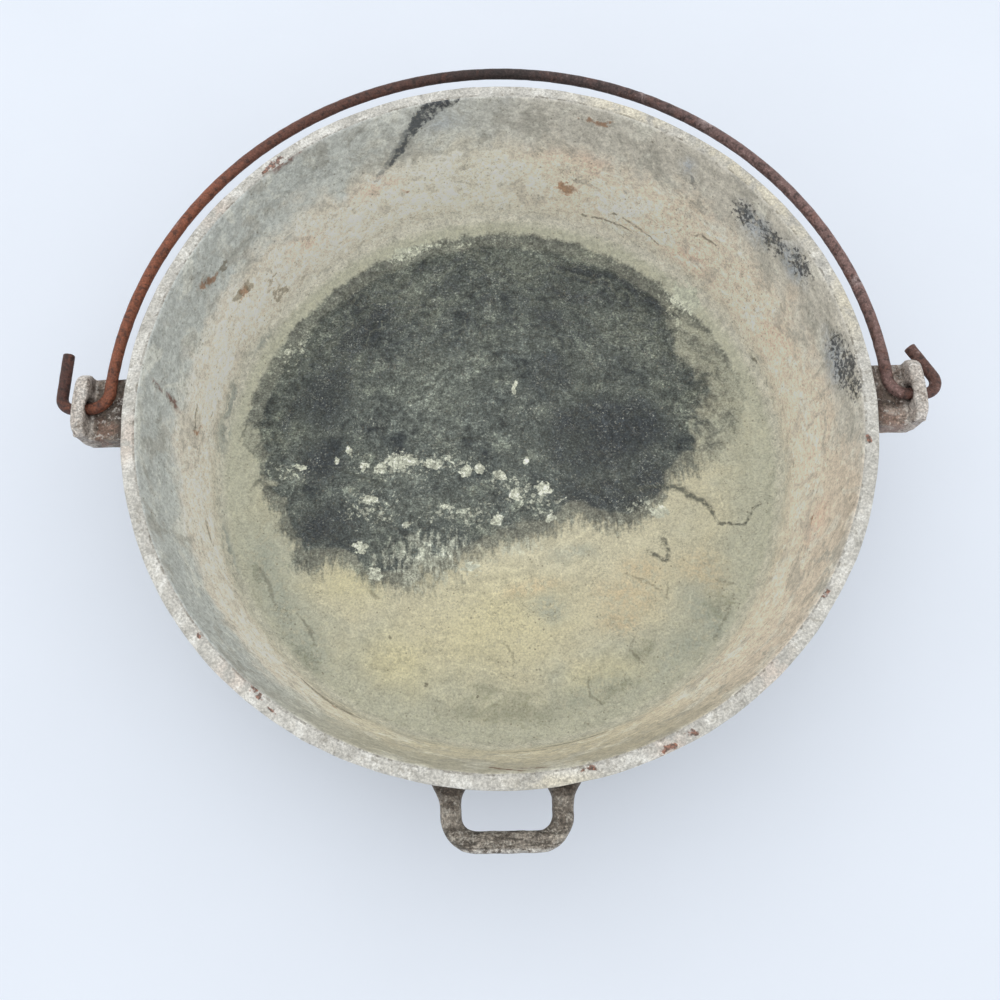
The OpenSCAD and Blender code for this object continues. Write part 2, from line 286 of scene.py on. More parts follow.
class Weave:
    """Adds nodes to a node tree. Each method gives back the socket that carries its result."""

    def __init__(self, tree, place):
        self.tree = tree
        self.place = place

    def put(self, value, socket):
        if isinstance(value, bpy.types.NodeSocket):
            self.tree.links.new(value, socket)
        elif hasattr(socket.default_value, "__len__") and not hasattr(value, "__len__"):
            socket.default_value = [value] * len(socket.default_value)
        elif hasattr(value, "__len__") and len(value) == 3 and len(socket.default_value) == 4:
            socket.default_value = (*value, 1.0)
        else:
            socket.default_value = value

    def math(self, kind, a, b=0.0, c=None):
        node = self.tree.nodes.new("ShaderNodeMath")
        node.operation = kind
        self.put(a, node.inputs[0])
        self.put(b, node.inputs[1])
        if c is not None:
            self.put(c, node.inputs[2])
        return node.outputs[0]

    def vector(self, kind, a, b=None, scale=None):
        node = self.tree.nodes.new("ShaderNodeVectorMath")
        node.operation = kind
        self.put(a, node.inputs[0])
        if b is not None:
            self.put(b, node.inputs[1])
        if scale is not None:
            self.put(scale, node.inputs["Scale"])
        return node.outputs["Value" if kind in ("LENGTH", "DOT_PRODUCT", "DISTANCE") else "Vector"]

    def split(self, v):
        return tuple(self.vector("DOT_PRODUCT", v, axis) for axis in ((1, 0, 0), (0, 1, 0), (0, 0, 1)))

    def join(self, x, y, z):
        total = (0.0, 0.0, 0.0)
        for value, axis in ((x, (1, 0, 0)), (y, (0, 1, 0)), (z, (0, 0, 1))):
            if isinstance(value, bpy.types.NodeSocket):
                total = self.vector("ADD", self.vector("SCALE", axis, scale=value), total)
        return total

    def moved(self, shift=(0, 0, 0), stretch=(1, 1, 1)):
        """The plain place, moved and stretched for a texture."""
        node = self.tree.nodes.new("ShaderNodeMapping")
        self.put(self.point, node.inputs["Vector"])
        node.inputs["Location"].default_value = shift
        node.inputs["Scale"].default_value = stretch
        return node.outputs[0]

    def noise(self, scale, detail=3.0, rough=0.55, bend=0.0, shift=(0, 0, 0), stretch=(1, 1, 1)):
        node = self.tree.nodes.new("ShaderNodeTexNoise")
        self.put(self.moved(shift, stretch) if any(shift) or stretch != (1, 1, 1) else self.point, node.inputs["Vector"])
        self.put(float(scale), node.inputs["Scale"])
        self.put(float(detail), node.inputs["Detail"])
        self.put(float(rough), node.inputs["Roughness"])
        self.put(float(bend), node.inputs["Distortion"])
        return node.outputs["Fac"]

    def rings(self, value, scale, detail=4.0, rough=0.65):
        """Noise along one value alone, such as a radius."""
        node = self.tree.nodes.new("ShaderNodeTexNoise")
        node.noise_dimensions = "1D"
        self.put(value, node.inputs["W"])
        self.put(float(scale), node.inputs["Scale"])
        self.put(float(detail), node.inputs["Detail"])
        self.put(float(rough), node.inputs["Roughness"])
        return node.outputs["Fac"]

    def cells(self, scale):
        node = self.tree.nodes.new("ShaderNodeTexVoronoi")
        self.put(self.point, node.inputs["Vector"])
        self.put(float(scale), node.inputs["Scale"])
        return node.outputs["Distance"]

    def step(self, value, low, high, to_low=0.0, to_high=1.0):
        """A smooth step of a value between two levels."""
        node = self.tree.nodes.new("ShaderNodeMapRange")
        node.interpolation_type = "SMOOTHSTEP"
        node.clamp = False
        self.put(value, node.inputs["Value"])
        for key, v in (("From Min", low), ("From Max", high), ("To Min", to_low), ("To Max", to_high)):
            self.put(v, node.inputs[key])
        return node.outputs["Result"]

    def ramp(self, value, stops):
        node = self.tree.nodes.new("ShaderNodeValToRGB")
        self.put(value, node.inputs[0])
        node.color_ramp.interpolation = "EASE"
        while len(node.color_ramp.elements) < len(stops):
            node.color_ramp.elements.new(0.5)
        for element, (place, colour) in zip(node.color_ramp.elements, stops):
            element.position = place
            element.color = (*colour, 1.0)
        return node.outputs[0]

    def curve(self, value, points):
        """A free curve through points, all between 0 and 1."""
        node = self.tree.nodes.new("ShaderNodeFloatCurve")
        self.put(value, node.inputs["Value"])
        line = node.mapping.curves[0]
        while len(line.points) < len(points):
            line.points.new(0.5, 0.5)
        for point, place in zip(line.points, points):
            point.location = place
        node.mapping.update()
        return node.outputs[0]

    def mix(self, fac, a, b, kind="MIX"):
        node = self.tree.nodes.new("ShaderNodeMix")
        node.data_type = "RGBA"
        node.blend_type = kind
        self.put(fac, node.inputs[0])
        self.put(a, node.inputs[6])
        self.put(b, node.inputs[7])
        return node.outputs[2]

    def blot(self, at, centre, size, turn=0.0, core=0.55):
        """1 within an ellipsoid, fading to 0 at its skin. Centre and size are in metres, turn is about Z in degrees."""
        a = math.radians(turn)
        axes = (
            Vector((math.cos(a), math.sin(a), 0)) / size[0],
            Vector((-math.sin(a), math.cos(a), 0)) / size[1],
            Vector((0, 0, 1)) / size[2],
        )
        middle = tuple(Vector(centre).dot(axis) for axis in axes)
        if turn:
            scaled = self.join(*(self.vector("DOT_PRODUCT", at, tuple(axis)) for axis in axes))
        else:
            scaled = self.vector("MULTIPLY", at, tuple(1 / half for half in size))
        return self.step(self.vector("DISTANCE", scaled, middle), 1.0, core)

    def strongest(self, masks):
        """The highest of several masks, taken one by one as they are made."""
        total = None
        for mask in masks:
            total = mask if total is None else self.math("MAXIMUM", total, mask)
        return total

    def apart(self, name, at, make):
        """Makes masks in a node group of its own, which takes a place and gives back the strongest of them."""
        group = bpy.data.node_groups.new(name, "ShaderNodeTree")
        group.interface.new_socket("Place", in_out="INPUT", socket_type="NodeSocketVector")
        group.interface.new_socket("Mask", in_out="OUTPUT", socket_type="NodeSocketFloat")
        inner = Weave(group, group.nodes.new("NodeGroupInput").outputs["Place"])
        result = inner.strongest(make(inner))
        group.links.new(result, group.nodes.new("NodeGroupOutput").inputs["Mask"])
        node = self.tree.nodes.new("ShaderNodeGroup")
        node.node_tree = group
        self.put(at, node.inputs[0])
        return node.outputs[0]

    def blots(self, at, rows):
        """Several blots. A row is a centre and half sizes in millimetres, a turn in degrees and a core."""
        return self.apart("blots", at, lambda inner: (inner.blot(inner.place, mm(centre), mm(half), turn, core) for centre, half, turn, core in rows))

    def path(self, at, points, core=0.2):
        """1 along a line through points, fading to 0 at its sides. A point is x, y, z and half width, in millimetres."""
        for first, last in zip(points[:-1], points[1:]):
            start = Vector(mm(first[:3]))
            run = Vector(mm(last[:3])) - start
            reach = self.vector("SUBTRACT", at, tuple(start))
            t = self.math("MAXIMUM", self.vector("DOT_PRODUCT", reach, tuple(run / run.length_squared)), 0.0)
            t = self.math("MINIMUM", t, 1.0)
            off = self.vector("DISTANCE", reach, self.vector("SCALE", tuple(run), scale=t))
            half = self.math("MULTIPLY_ADD", t, (last[3] - first[3]) * MM, (first[3] + 0.55) * MM)
            yield self.step(self.math("DIVIDE", off, half), 1.0, core)

    def paths(self, at, lines):
        return self.apart("lines", at, lambda inner: (mask for points in lines for mask in inner.path(inner.place, points)))

    def swing(self, value, amount):
        """How far a noise lies from its middle, times an amount."""
        return self.math("MULTIPLY_ADD", value, amount, -0.5 * amount)

    def broken(self, region, value, level=0.44, soft=0.08, pull=0.3):
        """A region torn by noise: it shows where the noise passes a level, which rises towards the region's edge."""
        field = self.math("MULTIPLY_ADD", region, pull, value)
        return self.times(self.step(field, level + pull - soft, level + pull + soft), self.step(region, 0.0, 0.15))

    def hairs(self, value, wide, level=0.5):
        """Thin wandering lines where a noise crosses a level."""
        return self.step(self.math("ABSOLUTE", self.math("SUBTRACT", value, level)), wide, wide * 0.2)

    def shade(self, colour, gain):
        """The colour made lighter or darker by a gain, and kept below white."""
        return self.vector("MINIMUM", self.vector("SCALE", colour, scale=gain), (0.90, 0.90, 0.88))

    def times(self, *values):
        total = values[0]
        for v in values[1:]:
            total = self.math("MULTIPLY", total, v)
        return total

    def warp(self, scale, amount, at=None):
        """The place, pushed about by noise, so that the edges of blots wander."""
        pushes = [self.swing(self.noise(scale, 2, 0.55, shift=shift), amount) for shift in ((3.1, 1.7, 0.4), (7.3, 0.2, 5.9), (1.4, 8.8, 2.6))]
        return self.vector("ADD", self.place if at is None else at, self.join(*pushes))

    def bump(self, height, distance, strength=1.0, below=None):
        node = self.tree.nodes.new("ShaderNodeBump")
        self.put(height, node.inputs["Height"])
        self.put(float(distance), node.inputs["Distance"])
        self.put(float(strength), node.inputs["Strength"])
        if below is not None:
            self.put(below, node.inputs["Normal"])
        return node.outputs[0]


class Finish(Weave):
    """A material under construction."""

    def __init__(self, name):
        self.material = bpy.data.materials.new(name)
        self.material.use_nodes = True
        tree = self.material.node_tree
        tree.nodes.clear()
        coords = tree.nodes.new("ShaderNodeTexCoord")
        place = tree.nodes.new("ShaderNodeGroup")
        place.node_tree = place_group()
        super().__init__(tree, place.outputs[0])
        self.point = coords.outputs["Object"]
        self.normal = coords.outputs["Normal"]
        self.out = tree.nodes.new("ShaderNodeOutputMaterial")
        self.shader = tree.nodes.new("ShaderNodeBsdfPrincipled")
        tree.links.new(self.shader.outputs[0], self.out.inputs[0])

    def close(self, colour, rough, bump=None, metallic=None, specular=0.4):
        self.put(colour, self.shader.inputs["Base Color"])
        self.put(rough, self.shader.inputs["Roughness"])
        if metallic is not None:
            self.put(metallic, self.shader.inputs["Metallic"])
        self.shader.inputs["Specular IOR Level"].default_value = specular
        if bump is not None:
            self.put(bump, self.shader.inputs["Normal"])
        return self.material


# Marks seen inside the pot. Each row is a centre, half sizes in millimetres, a turn about Z in degrees, and the
# share of the size that is solid. A line is a list of points, each with its half width.
STAIN_EDGE = [
    (0.0, 0.70), (0.045, 0.47), (0.0623, 0.40), (0.103, 0.33), (0.151, 0.20), (0.215, 0.175), (0.26, 0.115), (0.333, 0.125),
    (0.409, 0.165), (0.447, 0.195), (0.499, 0.245), (0.543, 0.275), (0.58, 0.285), (0.632, 0.318), (0.692, 0.298), (0.753, 0.312),
    (0.797, 0.375), (0.81, 0.43), (0.846, 0.47), (0.885, 0.49), (0.923, 0.55), (0.9615, 0.68), (1.0, 0.85),
]
STAIN_DARK = [
    ((-86, 36, 6), (22, 34, 14), -8, 0.2), ((-86, 6, 6), (22, 18, 14), 0, 0.2), ((-84, -28, 6), (28, 17, 14), -18, 0.3),
    ((-72, -40, 6), (16, 13, 14), 0, 0.1), ((50, 14, 6), (46, 30, 14), 12, 0.5), ((46, -15, 6), (36, 17, 14), 0, 0.3),
    ((70, -6, 6), (22, 22, 14), 0, 0.25), ((30, 44, 6), (28, 22, 14), 0, 0.0), ((24, 76, 6), (22, 14, 14), -10, 0.0),
    ((-70, 72, 6), (15, 34, 14), -40, 0.3), ((78, 88, 7), (34, 7, 14), -42, 0.2), ((45, 104, 7), (34, 7, 14), -20, 0.2),
    ((34, 92, 6), (26, 7, 14), -24, 0.0), ((-100, 26, 6), (8, 30, 14), -20, 0.0),
]
STAIN_LIGHT = [
    ((-30, 38, 6), (44, 34, 14), 0, 0.0),
    ((-44, 96, 7), (44, 16, 14), 24, 0.1),
    ((0, 114, 7), (60, 10, 14), -2, 0.4),
    ((-104, 58, 6), (10, 26, 14), -28, 0.1),
    ((66, 66, 6), (30, 16, 14), -38, 0.1),
    ((-104, -2, 6), (18, 9, 14), 0, 0.1),
    ((20, 62, 6), (16, 12, 14), 0, 0.0),
    ((-44, -4, 6), (24, 16, 14), 0, 0.1),
    ((-36, -24, 6), (30, 14, 14), 0, 0.0),
]
STAIN_VEIL = [
    ((110, 28, 8), (19, 48, 20), -6, 0.35),
    ((100, 66, 7), (16, 26, 20), 36, 0.3),
    ((-120, 14, 7), (8, 11, 20), 0, 0.4),
    ((-117, -8, 6), (9, 3, 20), 10, 0.2),
    ((74, -40, 6), (11, 9, 20), 0, 0.0),
    ((-48, -66, 6), (22, 8, 20), 8, 0.0),
    ((-12, -54, 6), (12, 16, 20), 20, 0.0),
]
FLAKES = [
    ((-48, 2, 6), (10, 5.5, 9), 4, 0.3), ((-58, -1, 6), (5, 4, 9), 0, 0.3), ((-67, 0, 6), (3.5, 3, 9), 0, 0.3),
    ((-74, 8, 6), (2.6, 3.4, 9), 20, 0.3), ((-33, 0, 6), (7, 3.4, 9), -10, 0.3), ((-17, -4, 6), (4.4, 4, 9), 0, 0.4),
    ((-10, -2.5, 6), (3.2, 3.4, 9), 0, 0.5), ((0, -6, 6), (4.4, 3.2, 9), -30, 0.5), ((-63, -17, 6), (5.5, 3, 9), 0, 0.3),
    ((-98, 0, 6), (6, 2.4, 9), -10, 0.2), ((7, -16, 6), (3.6, 4, 9), 0, 0.4), ((21, -13, 6), (6, 5, 9), -20, 0.2),
    ((24, -28, 6), (3.4, 2.6, 9), 0, 0.4), ((-2, -29, 6), (4.6, 3, 9), 10, 0.4), ((-67, -41, 6), (6, 4, 9), 0, 0.2),
    ((-80, 3, 6), (2, 2, 9), 0, 0.4), ((13, 1, 6), (1.6, 2.2, 9), 0, 0.4), ((-26, -22, 6), (5, 2.2, 9), -10, 0.2),
    ((76, -26, 6), (6.5, 4.4, 9), 0, 0.3), ((-45, -30, 6), (5, 2, 9), 14, 0.2), ((8, 40, 6), (1.5, 7, 9), -18, 0.2),
    ((-107, 62, 6), (2, 2.4, 9), 0, 0.5), ((-46, 118, 8), (15, 4, 9), 20, 0.2), ((97, 87, 8), (14, 9, 12), -38, 0.2),
    ((-15, -52, 6), (6, 5, 9), 0, 0.1), ((-60, -54, 6), (6, 5, 9), 0, 0.1),
]
CRUMBS = [
    ((-40, 0, 6), (48, 12, 14), -3, 0.1), ((8, -16, 6), (34, 14, 14), -14, 0.0), ((-60, -22, 6), (26, 14, 14), 0, 0.0),
    ((-20, -30, 6), (30, 12, 14), 0, 0.0), ((-104, 0, 6), (24, 10, 14), 0, 0.0), ((-104, 62, 6), (10, 24, 14), -30, 0.0),
    ((-30, 118, 7), (50, 5, 14), 12, 0.0), ((94, 80, 6), (12, 26, 14), 32, 0.0), ((66, -22, 6), (24, 10, 14), 0, 0.0),
]
STREAKS = [((-40, -50, 6), (34, 16, 14), 4, 0.2), ((10, -42, 6), (26, 9, 14), 22, 0.1)]
TAIL = [
    [(76, -13, 6, 1.3), (86, -14, 6, 2.1), (94, -20, 6, 1.9), (99, -23, 6, 1.7), (104, -32, 6, 0.8)],
    [(60, -16, 6, 0.5), (76, -13, 6, 1.2)],
    [(104, -32, 6, 0.7), (116, -34, 6.4, 0.6), (121, -25, 7, 1.1), (124, -23, 8, 1.0)],
    [(70, -45, 6, 1.2), (74, -49, 6, 1.1), (77.5, -50, 6, 1.2), (79, -45, 6, 1.1), (77, -40, 6, 1.6)],
    [(-84, 0, 6, 0.5), (-66, -6, 6, 0.9), (-54, -12, 6, 0.4)],
    [(-34, 10, 6, 0.4), (-20, 14, 6, 0.8), (-2, 12, 6, 0.4)],
]
LOOPS = [
    [(-125, 22, 7.4, 0.6), (-127, 14, 7.6, 0.8), (-122, 8, 6.6, 1.0), (-117, 14, 6, 0.8), (-119, 22, 6.3, 0.5)],
    [(-121, -12, 6.6, 0.8), (-118, -7, 6.2, 1.1), (-113, -9, 6, 1.3), (-108, -14, 6, 0.6)],
]
CREAM_WARM = [
    ((56, -68, 6), (30, 22, 14), 0, 0.0),
    ((14, -61, 6), (24, 8, 14), 8, 0.0),
    ((66, -56, 6), (26, 10, 14), -10, 0.0),
    ((50, -82, 6), (14, 10, 14), 0, 0.0),
    ((96, -58, 7), (18, 18, 14), 0, 0.0),
]
CREAM_YELLOW = [
    ((-6, -78, 6), (64, 40, 14), 6, 0.0),
    ((-44, -92, 6), (30, 28, 14), 0, 0.0),
    ((44, -104, 6), (30, 14, 14), 10, 0.0),
    ((-72, -62, 6), (26, 14, 14), -20, 0.0),
]
CREAM_COOL = [
    ((22, -72, 6), (16, 12, 14), 0, 0.0),
    ((30, -46, 6), (18, 7, 14), 0, 0.0),
    ((96, -80, 6), (16, 26, 14), 30, 0.0),
    ((81, -96, 6), (22, 14, 14), 38, 0.0),
    ((44, -110, 6), (34, 12, 14), 14, 0.0),
    ((-108, -46, 6), (16, 36, 14), 20, 0.0),
    ((-88, -88, 6), (16, 26, 14), 40, 0.0),
    ((-100, -66, 6), (14, 30, 14), 30, 0.0),
]
CREAM_DARK = [
    ((0, -117, 6), (50, 13, 14), 0, 0.1),
    ((-10, -109, 6), (14, 7, 14), 0, 0.0),
    ((62, -93, 6), (12, 7, 14), 20, 0.1),
    ((52, -112, 6), (20, 6, 14), 26, 0.0),
    ((-86, -96, 8), (12, 22, 14), 40, 0.0),
    ((-112, -54, 6), (6, 16, 14), 18, 0.1),
    ((100, -72, 7), (9, 15, 14), -26, 0.0),
]
FLOOR_LINES = [
    [(-115, -46, 6.6, 0.5), (-113, -52, 6.4, 1.1), (-110, -58, 6.4, 1.2), (-106, -68, 6.6, 0.6)],
    [(101, -60, 6.6, 1.8), (107, -62, 7, 1.0)],
    [(108, -64, 7.6, 0.5), (103, -78, 8, 0.8), (97, -88, 8.6, 1.3)],
    [(-62, -62, 6, 0.9), (-58, -66, 6, 1.0)],
    [(58, -56, 6, 0.5), (66, -60, 6, 0.8), (74, -64, 6, 0.4)],
    [(38, -104, 6, 0.3), (39, -112, 6, 0.6), (44, -116, 6, 0.4)],
    [(-96, -72, 6, 0.4), (-90, -79, 6, 0.9), (-86, -88, 6, 0.4)],
    [(60, -86, 6, 0.4), (58, -92, 6, 0.8), (64, -98, 6, 0.5)],
    [(78, -60, 6, 0.3), (76, -68, 6, 0.6)],
    [(-3, -86, 6, 0.3), (4, -92, 6, 0.6), (4, -98, 6, 0.3)],
]
DENTS = [((-36, -106, 6), (1.5, 1.5, 6), 0, 0.4), ((-12, -112, 6), (1.2, 1.2, 6), 0, 0.4), ((-52, -84, 6), (1.0, 1.2, 6), 0, 0.4)]
WALL_ROSE = [
    ((137, -6, 40), (12, 34, 14), 0, 0.0),
    ((126, 42, 36), (16, 30, 14), 0, 0.0),
    ((132, -46, 52), (16, 16, 20), 0, 0.0),
    ((-88, 104, 38), (24, 16, 12), 0, 0.1),
    ((-54, 126, 48), (24, 12, 12), 0, 0.0),
    ((94, 96, 26), (26, 20, 12), 0, 0.0),
    ((40, 138, 56), (34, 10, 14), 0, 0.0),
]
RING_GREY = [((-131, 22, 14), (5, 34, 13), 0, 0.3), ((-127, -40, 13), (7, 34, 8), 18, 0.1), ((-118, 66, 15), (8, 22, 6), -32, 0.0)]
SMUDGE = [
    ((142.5, 24, 78), (7, 9, 10), 8, 0.1), ((144.5, 12, 80), (7, 12, 12), 4, 0.3), ((145.5, 3, 84), (6, 8, 8), 2, 0.2),
    ((112, 91, 74), (13, 11, 9), 42, 0.1), ((122, 77, 76), (12, 12, 8), 34, 0.1), ((131, 62, 80), (10, 12, 8), 26, 0.1),
]
BLUISH = [
    ((116, 86, 74), (16, 18, 12), 40, 0.1), ((128, 66, 79), (12, 18, 10), 28, 0.1), ((143, 18, 78), (8, 22, 15), 6, 0.2),
    ((84, 116, 74), (18, 8, 10), 36, 0.0), ((18, 143, 84), (22, 6, 6), -6, 0.0), ((-26, 143, 80), (18, 6, 12), 12, 0.1),
]
BLACK_LINES = [
    [(-22, 144.4, 87.5, 5.4), (-29, 142.9, 85, 8.0), (-34, 141.2, 80, 6.6), (-38, 139.5, 74, 3.2)],
    [(-16, 145.4, 87, 1.6), (-28, 143.4, 84.5, 4.0)],
    [(-38, 139.5, 75, 1.6), (-44, 136, 66, 2.4), (-50, 132.8, 59, 1.2)],
]
BLACK_TRAIL = [
    [(-33, 141.6, 82, 4.5), (-42, 137, 70, 5.0), (-50, 132.8, 60, 3.8), (-57, 129, 53, 1.8)],
    [(100, 102, 78, 0.8), (108, 95.5, 76, 1.4), (118, 83, 77, 2.0), (131, 62, 80, 1.2)],
    [(87.5, 114, 78, 1.0), (90, 111, 71, 1.4), (92, 109, 68, 0.5)],
]
CRACKS = [
    [(144.6, 8, 80, 0.7), (146.6, -4, 85, 0.6), (148.2, -11, 87.6, 0.5)],
    [(54, 125, 26, 0.3), (60, 123, 30, 0.6), (72, 117, 28, 0.6), (82, 110, 24, 0.3)],
    [(-88.4, -104.1, 25, 0.8), (-80, -111, 28, 2.4), (-72.9, -116.3, 29, 3.0), (-66, -120.4, 27, 2.6), (-61.4, -122, 25, 0.8)],
    [(-76, -112.6, 26, 1.2), (-66, -118, 25, 2.2)],
    [(-112, -82, 28, 0.4), (-108, -87, 27, 0.8)],
    [(-3, -138, 29, 0.8), (10, -138, 28.5, 2.0), (26, -136, 28.5, 0.9)],
    [(-44, -128, 22, 0.8), (-30, -132, 21.5, 1.8)],
    [(14, -134.5, 21.5, 1.2), (34, -131.5, 22, 2.4), (46, -127, 22, 0.9)],
    [(-134, -22, 30, 0.4), (-132.5, -36, 31, 1.3), (-129, -46, 30, 0.6)],
    [(94, 104, 40, 0.3), (98, 100, 46, 0.7), (105, 93, 48, 0.3)],
    [(123, 58, 12, 0.5), (125, 53, 15, 1.1), (127, 46, 17, 0.5)],
    [(-20, 131, 16, 0.3), (0, 132.5, 16.5, 0.8), (20, 131, 16.5, 0.4)],
    [(-60, 118, 17, 0.3), (-40, 127, 19, 0.7), (-26, 131, 21, 0.3)],
    [(44, 129, 22, 0.4), (60, 122.5, 24, 0.7), (70, 117, 24, 0.3)],
    [(-140, 30, 50, 0.3), (-139, 18, 42, 0.7), (-138, 6, 40, 0.4)],
    [(-118, -82, 52, 0.5), (-113, -88, 46, 0.9), (-108, -93, 44, 0.4)],
    [(-110, -60, 10, 0.4), (-104, -74, 12, 0.8), (-96, -86, 12, 0.4)],
]
RUST_LINES = [
    [(-102, 107.6, 87.6, 1.6), (-97.5, 111.4, 87.2, 3.0), (-92, 115.6, 87.4, 2.6), (-86, 119.6, 88, 1.4)],
    [(-147.4, 12, 85, 1.2), (-145.4, 14, 79, 1.4), (-143.6, 12.4, 71, 1.0)],
    [(-142.4, 12.6, 66, 1.4), (-140.9, 11.0, 60, 2.4), (-140.0, 9.0, 55, 1.4)],
    [(-6, -143.5, 74, 2.2), (6, -146.4, 85, 1.4)],
    [(6, -145.4, 78, 2.6), (16, -145.6, 82, 1.8)],
]
BROWN = [
    ((35.5, 134, 38.2), (8, 5, 6), 0, 0.3), ((-88, 109, 49), (10, 6, 5), 40, 0.2), ((-81, 114.5, 51), (9, 5, 4.5), 36, 0.2),
    ((-95, 103, 46), (6, 5, 6), 40, 0.2), ((-128, 64, 70), (6, 10, 7), 0, 0.2), ((133, -44, 46), (5, 8, 7), 0, 0.0), ((-119, 74, 44), (6, 7, 7), 0, 0.1),
    ((-115, 82, 34), (4, 8, 6), 0, 0.1), ((-138, 25, 44), (3, 3.4, 5), 0, 0.3), ((-136, 10, 40), (2.6, 2.6, 4), 0, 0.2),
    ((-74, -115, 29.5), (3.6, 3.4, 2), 0, 0.3), ((50, 140, 83), (16, 5, 4), -10, 0.0), ((-62, 126, 50), (10, 5, 4), 24, 0.0),
    ((-38, 132, 40), (7, 4, 3.4), 0, 0.0), ((-150, -20, 86), (4, 9, 5), 0, 0.0),
]
CELLAR = [
    ((-117, 77, 44), (5, 6, 7), 0, 0.3), ((-105, 88, 27), (5, 6, 7), 0, 0.3), ((-124, 70, 68), (9, 6, 5), 0, 0.2),
    ((-121, 70, 46), (4, 8, 8), 0, 0.2), ((-107, 86, 36), (3.4, 8, 7), 0, 0.2),
]
RIM_CREAM = [
    ((112, 96, 88), (54, 50, 5), 0, 0.4), ((60, 137, 88), (36, 12, 5), -20, 0.2), ((146, 40, 88), (10, 30, 5), 0, 0.2),
    ((20, -150, 88), (30, 6, 5), 0, 0.0),
]
RIM_ROSY = [
    ((-148, -16, 88), (6, 16, 5), 0, 0.2), ((-120, 88, 88), (12, 14, 5), 0, 0.1), ((100, -112, 88), (14, 14, 5), 0, 0.1),
    ((-100, -110, 88), (14, 10, 5), 0, 0.0), ((60, -138, 88), (14, 8, 5), 0, 0.0),
]
RIM_RUST = [
    ((-91.5, -115.5, 87.4), (7.5, 2.0, 3), -50, 0.3), ((-85, -122.5, 87.2), (4, 1.2, 2.5), -48, 0.2), ((-97.5, 112.4, 88), (10, 2.6, 3), 44, 0.3),
    ((59, -138.5, 87.5), (5.5, 2.4, 3), 24, 0.2), ((67, -134, 87.8), (3.4, 1.8, 3), 24, 0.2), ((146.5, -22, 87), (2.4, 3.4, 4), 0, 0.3),
    ((-114, -95.5, 87), (3, 1.8, 3), -50, 0.3), ((30, -145, 87.6), (4, 1.6, 3), 10, 0.2), ((122, -84, 87.2), (3, 2, 3), 54, 0.3),
]
WIRE_SCUFFS = [
    ((97, 135, 82), (8, 6, 4), -38, 0.2), ((118, 118, 82), (4, 4, 4), 0, 0.2), ((143, 86, 82), (4, 4, 4), 0, 0.3), ((154, 52, 82), (4, 4, 4), 0, 0.4),
    ((70, 151, 82), (5, 5, 4), 0, 0.1), ((-140, 88, 82), (3, 6, 4), 0, 0.1),
]


# Finishes


